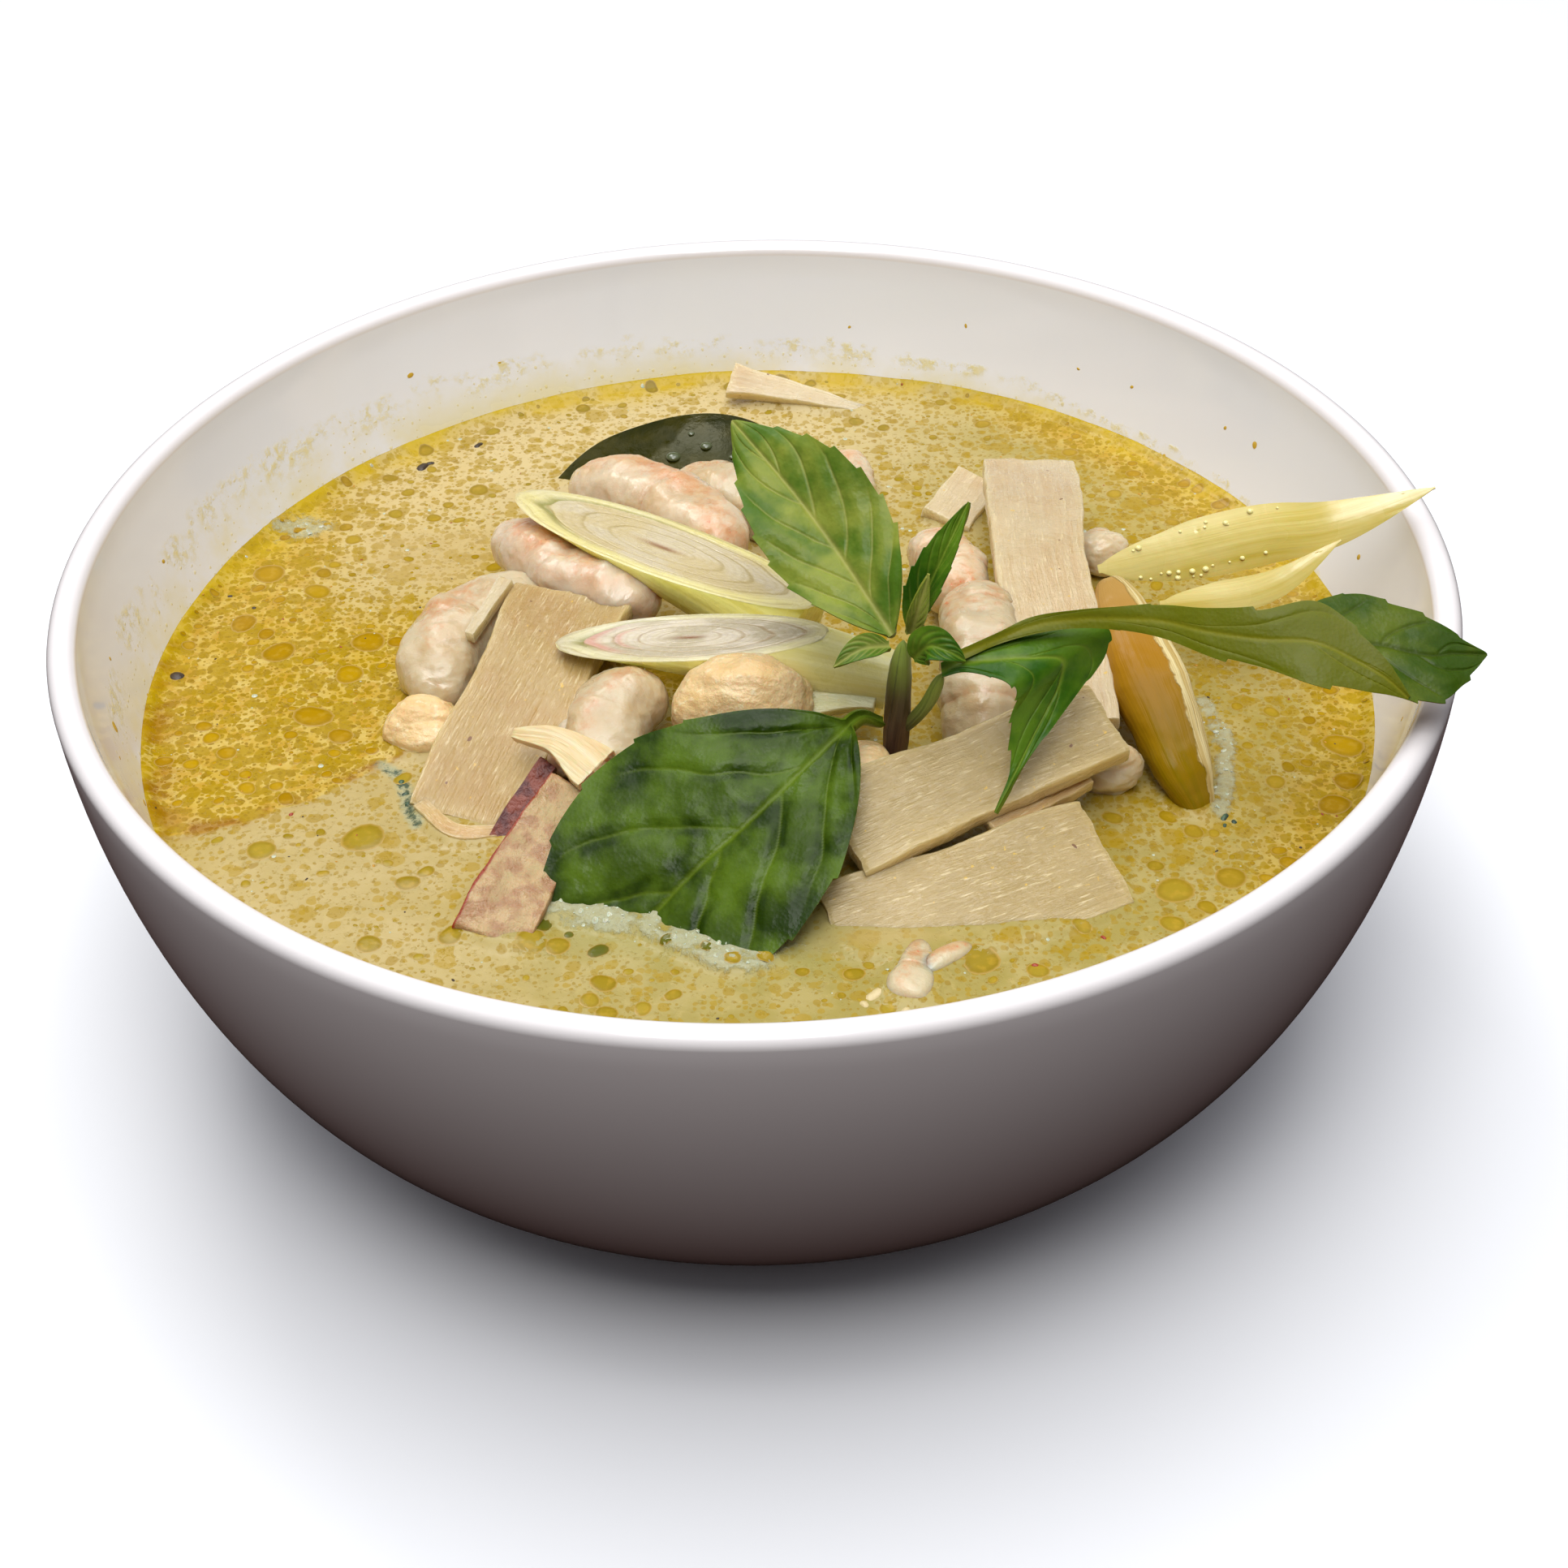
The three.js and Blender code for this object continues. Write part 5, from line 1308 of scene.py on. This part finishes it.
def read(lattice, x, y):
    """The lattice's value at x, y, blended between its four nearest cells."""
    i, j = x / STEP + LATTICE / 2 - 0.5, y / STEP + LATTICE / 2 - 0.5
    a, b = np.clip(np.floor(i).astype(int), 0, LATTICE - 2), np.clip(np.floor(j).astype(int), 0, LATTICE - 2)
    s, t = i - a, j - b
    low = lattice[a, b] * (1 - s) + lattice[a + 1, b] * s
    high = lattice[a, b + 1] * (1 - s) + lattice[a + 1, b + 1] * s
    return low * (1 - t) + high * t


touching = np.clip(blurred(crowd, 2) * 2.4, 0, 1)
wet_edge = np.clip(blurred(leaf_line, 2) * 1.7, 0, 1)

# %% How much fat floats where
surface_t = (BOWL_HEIGHT - LEVEL) / (BOWL_HEIGHT - FLOOR_HEIGHT)
edge_radius = inner_wall(surface_t) - 0.05
FAT_ANGLES = [-180, -170, -150, -120, -90, -60, -30, 0, 30, 60, 90, 120, 150, 165, 180]
FAT = [1.0, 0.9, 0.3, 0.26, 0.26, 0.34, 0.6, 0.55, 0.6, 0.5, 0.3, 0.4, 0.7, 0.85, 1.0]
FRONT_OF_FAT = [[-80, -30.5], [-70.2, -28.5], [-61.4, -26.2], [-52.4, -21.3], [-45.2, -15.3], [-38, -8]]
LEAF_FROTH = [[-26.7, -42.8], [-22.2, -45.5], [-15.5, -47], [-5.4, -49.1], [-0.8, -50.4], [4.2, -51]]
STALK_FROTH = [[55.6, -8], [56.6, -12], [56.6, -18], [55.7, -24], [54.2, -29]]
HERB_LINE = [[-46.1, -15.7], [-44, -17.5], [-42.9, -20.4], [-42.1, -24.1], [-40.8, -27.4]]


def line_height(x, y):
    """The y at which the skin of fat ends, a little ragged."""
    line = np.interp(x, [p[0] for p in FRONT_OF_FAT], [p[1] for p in FRONT_OF_FAT])
    return line + 0.5 * noise(on_plane(x, y), 4.0, 21, 3)


def fat(x, y):
    """By angle about the middle. At the left the skin of fat ends at a line."""
    amount = np.interp(np.degrees(np.arctan2(y, x)), FAT_ANGLES, FAT)
    amount = amount + 0.3 * bell(edge_radius - np.hypot(x, y) - 3, 4.5) * smooth(x, 20, 50)
    left = smooth(x, -36, -42)
    dense = 0.75 - 0.45 * smooth(y, 2, 26) * smooth(x, -72, -50)
    return amount * (1 - left) + left * (0.25 + dense * smooth(y - line_height(x, y), -0.3, 0.4))


def inside_shape(x, y, corners, soft=3.0):
    """1 inside a convex shape given anticlockwise, fading over `soft` mm at its edges."""
    corners = np.array(corners, float)
    nearest = np.full(np.shape(x), 1e3)
    for a, b in zip(corners, np.roll(corners, -1, axis=0)):
        way = (b - a) / np.linalg.norm(b - a)
        nearest = np.minimum(nearest, way[0] * (y - a[1]) - way[1] * (x - a[0]))
    return smooth(nearest, -soft / 2, soft / 2)


def from_line(x, y, corners):
    """Distance in mm to a line through the corners: the least over its straight parts."""
    nearest = np.full(np.shape(x), 1e3)
    for a, b in zip(np.array(corners, float)[:-1], np.array(corners, float)[1:]):
        way = b - a
        share = np.clip(((x - a[0]) * way[0] + (y - a[1]) * way[1]) / (way @ way), 0, 1)
        nearest = np.minimum(nearest, np.hypot(x - a[0] - share * way[0], y - a[1] - share * way[1]))
    return nearest


def froth(x, y):
    """Froth along the wet leaf and beside the standing stalk, frayed by noise, and one lump far left."""
    place = on_plane(x, y)
    leaf_edge = np.maximum(read(wet_edge, x, y), 0.8 * bell(from_line(x, y, LEAF_FROTH), 1.0))
    stalk_edge = bell(from_line(x, y, STALK_FROTH), 1.3)
    lump = bell(np.hypot(x + 62.5, (y - 38) * 1.3), 4.0)
    amount = np.maximum(np.maximum(leaf_edge, stalk_edge), lump)
    return np.clip(amount * (1 + 0.7 * noise(place, 1.6, 41, 4)), 0, 1)


# %% How high the surface is
def surface_height(x, y):
    """The level, raised at the wall and at food, swelling a little, and lumpy where froth is."""
    place = on_plane(x, y)
    to_wall = edge_radius - np.hypot(x, y)
    rise = 0.9 * bell(to_wall, 0.9) + 0.6 * read(touching, x, y) ** 1.5
    swell = 0.1 * noise(place, 10.0, 31, 2) + 0.03 * noise(place, 2.6, 32, 2)
    return LEVEL + rise + swell + froth(x, y) * (0.25 + 0.2 * noise(place, 0.7, 42, 2))


rings = np.concatenate([np.linspace(0, 0.93, 170), np.linspace(0.93, 1, 26)[1:]]) * edge_radius
SPOKES = 450
a = np.linspace(0, 2 * np.pi, SPOKES, endpoint=False)[None]
x, y = rings[:, None] * np.cos(a), rings[:, None] * np.sin(a)
to_wall = edge_radius - rings[:, None] + 0 * x
creep = 1 + (0.28 * bell(to_wall, 0.9) + 0.12 * bell(to_wall, 0.3)) / edge_radius
top = np.stack([x * creep, y * creep, surface_height(x, y)], -1)
t_down = np.linspace(surface_t, 0.99, 24)[1:]
side_r, side_z = inner_wall(t_down) - 0.05, BOWL_HEIGHT - (BOWL_HEIGHT - FLOOR_HEIGHT) * t_down
below = carried_round(np.stack([side_r, side_z], -1), SPOKES)
bottom = carried_round(np.array([[0, side_z[-1]]]), SPOKES)
whole = np.concatenate([top, below, bottom])
print("the surface meets the wall at", round(edge_radius, 2), "mm")

# %% The surface with its fields
slice_left = inside_shape(x, y, [[-53.4, 35.8], [-50, 24.7], [-38.9, 22.8], [-32.2, 36.8]])
slice_front = inside_shape(x, y, [[4.3, -52.3], [21.5, -50.7], [17.2, -48.3], [5.2, -49]])
RING_ANGLES = [0, 30, 60, 150, 180, 230, 330, 360]
degrees = np.degrees(a)
ring_by_angle = np.interp(degrees, RING_ANGLES, [0.5, 0.8, 1, 1, 0.6, 0.1, 0.1, 0.5])
wall_ring = bell(to_wall, 2.6 + 1.6 * noise(on_plane(x, y), 9.0, 33, 2)) * ring_by_angle
brown = bell(y - line_height(x, y) - 0.9, 1.1) * smooth(x, -38, -44)
at_wall = bell(to_wall, 3.0) * smooth(degrees, 165, 180) * smooth(degrees, 206, 200)
brown = np.maximum(brown, at_wall)
pad = lambda field: np.concatenate([field, np.repeat(field[-1:], len(whole) - len(field), axis=0)])
fields = {"fat": fat(x, y), "ring": np.clip(wall_ring, 0, 1), "brown": brown, "froth": froth(x, y)}
fields["sunk"] = np.maximum(slice_left, slice_front)
fields["green"] = bell(from_line(x, y, LEAF_FROTH), 5.0)
fields["herb"] = bell(from_line(x, y, HERB_LINE), 1.7)
curry_skin = skin(whole, **{name: pad(field) for name, field in fields.items()})

# %% The finish of the curry
# Cream first, then soft blots of fat in four sizes, which the dense skin at the left is full of.
curry, w, wire = material(
    "curry", Specular_IOR_Level=0.2, Subsurface_Weight=0.2, Subsurface_Scale=0.003,
    Subsurface_Radius=(1.0, 0.8, 0.4),
)
place = w.place()
fatty = w.field("fat")
dense = w.step(fatty, 0.45, 0.9)
painted_sheen_back = w.step(w.part(place, "Y"), -0.02, 0.06)
painted_sheen_left_half = w.step(w.part(place, "X"), 0.05, 0.0)
at_left = w.step(w.part(place, "X"), -0.005, -0.045)
# Paler cream at the far left: partly a creamier curry with less fat, partly painted light from the lit left
# side.
milky = w.mix(w.times(at_left, 0.6), w.mottled(place, 150.0, (160, 144, 76), (173, 156, 95)), (190, 166, 112))
# Painted light: the cream is much paler at the back left, painted sheen and light where that part of the curry
# is lit.
milky = w.mix(w.times(painted_sheen_back, painted_sheen_left_half, 0.85), milky, (206, 184, 132))
body = w.mix(dense, milky, w.mottled(place, 260.0, (192, 159, 60), (201, 174, 91), 0.4, 0.62))
speckle = w.step(w.noise(place, 1500, 4.0, 0.65), 0.54, 0.7)
body = w.mix(w.times(speckle, 0.5), body, (154, 126, 24))
curds = w.step(w.noise(place, 760, 5.0, 0.65), 0.56, 0.7)
body = w.mix(w.times(curds, 0.5), body, (188, 166, 102))
blots = w.step(w.noise(place, 420, 4.0, 0.6), 0.46, 0.6)
body = w.mix(w.times(blots, dense, 0.55), body, (177, 132, 2))
BLOTS = [(4.2, 0.44, 0.9, -0.05), (2.5, 0.5, 0.9, 0.06), (1.5, 0.54, 0.9, 0.16), (0.9, 0.54, 0.9, 0.26)]
for cell_width, size, most, least in BLOTS:
    share = w.plus(w.times(fatty, most), least)
    drop = w.beaded(place, cell_width, size, share)
    soft_drop = w.times(w.step(drop["Dome"], 0.0, 0.35), w.plus(0.6, w.times(dense, 0.25)))
    body = w.mix(soft_drop, body, w.mix(drop["Tone"], (142, 110, 0), (166, 134, 8)))
body = w.mix(w.times(w.field("brown"), w.step(w.noise(place, 300, 5.0), 0.4, 0.6), 0.8), body, (132, 77, 2))
patchy = w.step(w.noise(place, 180, 3.0), 0.36, 0.6)
body = w.mix(w.times(w.field("ring"), w.plus(0.3, w.times(patchy, 0.6))), body, (202, 168, 0))
body = w.mix(w.times(w.field("sunk"), 0.45), body, (188, 162, 104))
body = w.mix(w.times(w.field("green"), 0.4), body, (149, 150, 92))
grains = w.noise(place, 1300, 4.0, 0.7)
herb = w.times(w.field("herb"), w.plus(grains, 0.5))
body = w.mix(w.times(w.step(herb, 0.5, 1.1), 0.7), body, (160, 168, 139))
shreds = w.step(w.plus(w.field("herb"), w.times(w.noise(place, 900, 4.0, 0.7), 1.6)), 1.6, 1.9)
body = w.mix(w.times(shreds, 0.85), body, (41, 66, 51))
foamy = w.step(w.plus(w.field("froth"), w.times(grains, 1.4)), 0.95, 1.5)
body = w.mix(w.times(foamy, w.plus(0.1, w.times(grains, 0.9))), body, (175, 179, 153))
wire("Base Color", body)
moist = w.moist(place, 900.0, 0.3)
wire("Roughness", w.plus(0.08, w.times(moist["Roughness"], 0.5)))
relief = w.plus(speckle, w.times(moist["Height"], 0.6), w.times(foamy, grains, 6.0))
wire("Normal", w.bump(relief, 0.05, 0.8))
piece("curry_surface", curry_skin, curry, ["curry"], 60)

# %% [markdown]
# ## Drops, froth and flecks
# Drops of fat are flat lenses with a dark rim. There are hundreds, so each has only a few dozen faces:
# one unit lens is copied to all places by array sums. The largest lie where the real ones lie, and the
# rest are scattered with a fixed seed, more of them where there is more fat, and never on each other.

# %% Copies of one small lens
def lenses(spots, radii, height=0.25, columns=14, stretch=0.15, seed=1, **each):
    """For each spot, rings at shares q of its radius with height h r (1 - q^3), and a flat underside. The
    outline is an oval: r (1 + stretch cos(2(a - turn)) + 0.04 sin(3a))."""
    spots, radii = np.array(spots, float), np.array(radii, float)
    rng = np.random.default_rng(seed)
    q = np.array([0, 0.45, 0.75, 0.92, 1.0, 0.6, 0])[None, :, None]
    level = np.array([1, 0.909, 0.578, 0.221, 0, -0.6, -0.6])[None, :, None]
    a = np.linspace(0, 2 * np.pi, columns, endpoint=False)[None, None]
    turn = rng.uniform(0, np.pi, len(spots))[:, None, None]
    pull = rng.uniform(0, stretch, len(spots))[:, None, None]
    r = radii[:, None, None] * q * (1 + pull * np.cos(2 * (a - turn)) + 0.04 * np.sin(3 * a + turn * 5))
    x, y = spots[:, 0][:, None, None] + r * np.cos(a), spots[:, 1][:, None, None] + r * np.sin(a)
    base = surface_height(x, y)
    z = base + height * radii[:, None, None] ** 0.6 * level + 0 * a
    points = np.stack([x, y, z], -1).reshape(-1, 3)
    faces = grid_faces(7, columns)
    faces = (faces[None] + np.arange(len(spots))[:, None, None] * 7 * columns).reshape(-1, 4)
    wide = lambda values: np.broadcast_to(values, (len(spots), 7, columns)).reshape(-1, 1)
    fields = {"share": wide(q), "lot": wide(rng.uniform(0, 1, len(spots))[:, None, None])}
    for name, values in each.items():
        fields[name] = wide(np.array(values, float)[:, None, None])
    return {"points": points, "faces": faces, "fields": fields}


def scattered(count, chance, radius, taken, seed, margin=1.05, near=0.12):
    """Random spots on the surface, kept where a random number is under chance(x, y), clear of all spots
    taken so far, and where food is no nearer than `near` says. radius(n) draws n radii. Taken is a list
    of [x, y, r] that grows."""
    rng = np.random.default_rng(seed)
    a, far = rng.uniform(0, 2 * np.pi, count * 12), edge_radius * np.sqrt(rng.uniform(0, 1, count * 12))
    x, y, r = far * np.cos(a), far * np.sin(a), radius(rng, count * 12)
    good = rng.uniform(0, 1, len(x)) < chance(x, y)
    good &= (far + r * 1.1 < edge_radius) & (read(touching, x, y) < near)
    chosen = []
    for spot in np.stack([x, y, r], -1)[good]:
        if len(taken):
            x, y, r = np.array(taken).T
            if np.min(np.hypot(x - spot[0], y - spot[1]) - (r + spot[2]) * margin) < 0:
                continue
        chosen.append(spot)
        taken.append(list(spot))
        if len(chosen) == count:
            break
    return np.array(chosen)


# %% The drops of fat
BIG_DROPS = [
    [-38.5, 47, 1.5], [-65.4, 27, 2.2], [-58.4, 22.4, 1.8], [-61.8, 8.8, 2.2], [-50.4, 10.6, 2.3], [
        -46.6, 10.4, 1.3,
    ],
    [-52.1, 3.4, 2.0], [-55.7, -5.4, 2.4], [-51.8, -9.6, 1.6], [-46.9, -29.6, 2.6], [-58.7, -31.3, 1.8],
    [-41, -37.8, 1.4], [-39, -36, 1.0], [-35.2, -47.1, 1.6], [-44.4, -48.2, 1.5], [-67.3, 15.5, 1.9],
    [-26.1, -48.7, 1.9], [-23.2, -49.4, 1.5], [-17.9, -55.7, 1.5], [-19.3, -58.4, 1.2], [-17.4, -60.6, 1.3],
    [-3.6, -53.1, 1.0], [0, -52.8, 1.0], [9.7, -55.6, 1.2], [23.8, -54, 2.2], [43.1, -24.9, 1.6], [
        50.6, -32.7, 1.3,
    ],
    [53.6, -41.2, 1.9], [46.9, -43.1, 2.3], [50.1, -46.2, 1.2], [45.8, -48.8, 1.5], [35.6, -49, 1.1],
    [71.2, -17.3, 2.4], [70.4, -24.2, 1.8], [67.9, -28.6, 2.0], [60.7, -38.9, 1.2], [-62, -19.5, 1.2], [
        -57, -21.8, 1.2,
    ],
]
GREEN_DROPS = [
    [-25.1, -46.2, 1.2], [-18.6, -50.4, 1.2], [-22, -47.6, 0.6], [-11, -49.6, 0.8], [-6.4, -51.2, 0.8],
]
taken = [spot[:] for spot in BIG_DROPS + GREEN_DROPS]
sizes = lambda rng, n: 0.25 + 1.1 * rng.uniform(0, 1, n) ** 3.5
more = scattered(1000, lambda x, y: 0.12 + 0.75 * fat(x, y), sizes, taken, 61)
spots = np.vstack([BIG_DROPS, GREEN_DROPS, more])
green = np.concatenate([np.zeros(len(BIG_DROPS)), np.ones(len(GREEN_DROPS)), np.zeros(len(more))])
near_fat = fat(spots[:, 0], spots[:, 1])
drops = lenses(spots[:, :2], spots[:, 2], 0.03, 14, 0.2, 62, green=green, fat=near_fat)

oil, w, wire = material("oil", Roughness=0.15, Specular_IOR_Level=0.2)
place, share = w.place(), w.field("share")
gold = w.mix(w.field("lot"), (158, 118, 0), (178, 140, 4))
pale_gold = w.mix(w.field("lot"), (146, 122, 20), (164, 140, 40))
body = w.mix(w.step(w.field("fat"), 0.4, 0.85), pale_gold, gold)
body = w.mix(w.times(w.step(w.noise(place, 900, 4.0), 0.46, 0.66), 0.45), body, (184, 148, 46))
body = w.mix(w.times(w.field("green"), 0.85), body, (72, 84, 18))
body = w.mix(w.times(w.step(share, 0.5, 0.8), 0.3), body, (118, 90, 6))
body = w.mix(w.times(w.step(share, 0.82, 1.0), 0.75), body, (182, 150, 80))
wire("Base Color", body)
wire("Normal", w.bump(w.noise(place, 1200, 3.0), 0.03, 0.6))
piece("oil_drops", drops, oil, sharp=60)

# %% Froth: bubbles crowd where the froth field is high, with a few more wherever the curry is calm
bubbles = scattered(
    1300, lambda x, y: 0.015 + np.clip(1.5 * froth(x, y) - 0.5, 0, 1),
    lambda rng, n: 0.1 + 0.3 * rng.uniform(0, 1, n) ** 3, [list(spot) for spot in spots], 63, 0.8, 1.1,
)
foam, w, wire = material("froth", Roughness=0.08, Subsurface_Weight=0.2, Subsurface_Scale=0.001)
wire("Base Color", w.mix(w.step(w.field("share"), 0.3, 0.95), (176, 176, 140), (210, 214, 192)))
wire("Normal", w.bump(w.noise(w.place(), 2500, 2.0), 0.02))
piece("froth", lenses(bubbles[:, :2], bubbles[:, 2], 0.3, 10, 0.05, 64), foam, sharp=60)

# %% Flecks of herb, pepper and chilli
HERBS = [
    [-43.4, -19, 0.4], [-42.7, -21.4, 0.35], [-42.3, -23.6, 0.3], [54.6, -30.4, 0.5], [55.6, -31.2, 0.35], [
        54.4, -31.8, 0.3,
    ],
]
DARK = [
    [-39.4, 59.2, 0.6], [-47, 53.5, 0.9], [-46, 54.4, 0.5], [-74.2, 4.1, 0.9], [59, -41.6, 0.7],
    [-70, 22, 0.3], [-66.4, 19, 0.3],
]
CHILLI = [[36.7, -56.7, 0.5], [29.7, -55, 0.35], [37.8, -50.7, 0.3], [-56, -24.8, 0.3], [36.2, -55.8, 0.3]]
CRUMBS = [[11.7, -59.1, 0.8], [15, -61.9, 0.6], [10.6, -60.4, 0.5]]
rng = np.random.default_rng(65)
dust = scattered(160, lambda x, y: 0.3 + 0 * x, lambda rng, n: rng.uniform(0.09, 0.2, n), [], 66)
spots = np.vstack([HERBS, DARK, CHILLI, CRUMBS, dust])
kinds = [0.0] * len(HERBS) + [1.0] * len(DARK) + [2.0] * len(CHILLI) + [3.0] * len(CRUMBS)
kinds += list(rng.choice([1.0, 2.0, 4.0, 4.0, 4.0], len(dust)))
flecks, w, wire = material("flecks", Roughness=0.4)
kind = w.field("kind")
body = w.mix(w.step(kind, 0.4, 0.6), w.mottled(w.place(), 1500.0, (26, 50, 34), (70, 96, 66)), (58, 42, 22))
body = w.mix(w.step(kind, 1.4, 1.6), body, (156, 58, 30))
body = w.mix(w.step(kind, 2.4, 2.6), body, (206, 186, 134))
wire("Base Color", w.mix(w.step(kind, 3.4, 3.6), body, (196, 140, 14)))
wire("Normal", w.bump(w.noise(w.place(), 2000, 3.0), 0.1))
piece(
    "flecks", lenses(spots[:, :2], spots[:, 2], 0.3, 12, 0.45, 67, kind=kinds), flecks,
    sharp=60,
)
print(len(near_fat), "drops,", len(bubbles), "bubbles,", len(spots), "flecks")

# %% [markdown]
# ## Light and floor
# Plain studio light: a broad soft light overhead, a smaller one high in front that reaches the back
# wall of the bowl but hardly its outside, and one behind on the left that draws the gloss of wet
# food. The room is bright above and dark around, so the front of the bowl stays in its own shade. A
# pale floor would light that side from below, so it is pale only where the camera looks at it.

# %% Lights
def soft_light(name, at, size, power):
    """A square light that looks at the bowl."""
    lamp = bpy.data.objects.new(name, bpy.data.lights.new(name, "AREA"))
    bpy.context.scene.collection.objects.link(lamp)
    lamp.data.size, lamp.data.energy = size, power
    lamp.location = at
    lamp.rotation_euler = (Vector(at) - Vector((0, 0, 0.04))).to_track_quat("Z", "Y").to_euler()


soft_light("light overhead", (0.0, 0.02, 0.87), 0.6, 3.5)
soft_light("light in front", (-0.04, -0.36, 0.77), 0.34, 2.4)
soft_light("light behind left", (-0.2, 0.4, 0.66), 0.25, 1.0)
world = bpy.data.worlds.new("room")
world.use_nodes = True
w = Wires(world.node_tree)
up = w.part(w.add("TexCoord", {}, "Generated"), "Z")
sky = w.mix(w.step(up, 0.5, 0.94), (0.012, 0.007, 0.006, 1), (0.98, 1.02, 1.14, 1))
world.node_tree.links.new(sky, world.node_tree.nodes["Background"].inputs["Color"])
world.node_tree.nodes["Background"].inputs["Strength"].default_value = 1.0
bpy.context.scene.world = world

# %% The floor
floor_mesh = bpy.data.meshes.new("floor")
floor_mesh.from_pydata([(-3, -3, 0), (3, -3, 0), (3, 3, 0), (-3, 3, 0)], [], [(0, 1, 2, 3)])
floor_look, w, wire = material("floor", Roughness=0.9)
pale = w.mix(w.noise(w.place(), 3.0), (0.95, 0.95, 0.95, 1), (0.97, 0.97, 0.97, 1))
looked_at = w.add("LightPath", {}, "Is Camera Ray")
wire("Base Color", w.mix(looked_at, (0.03, 0.008, 0.004, 1), pale))
floor_mesh.materials.append(floor_look)
floor = bpy.data.objects.new("floor", floor_mesh)
bpy.context.scene.collection.objects.link(floor)
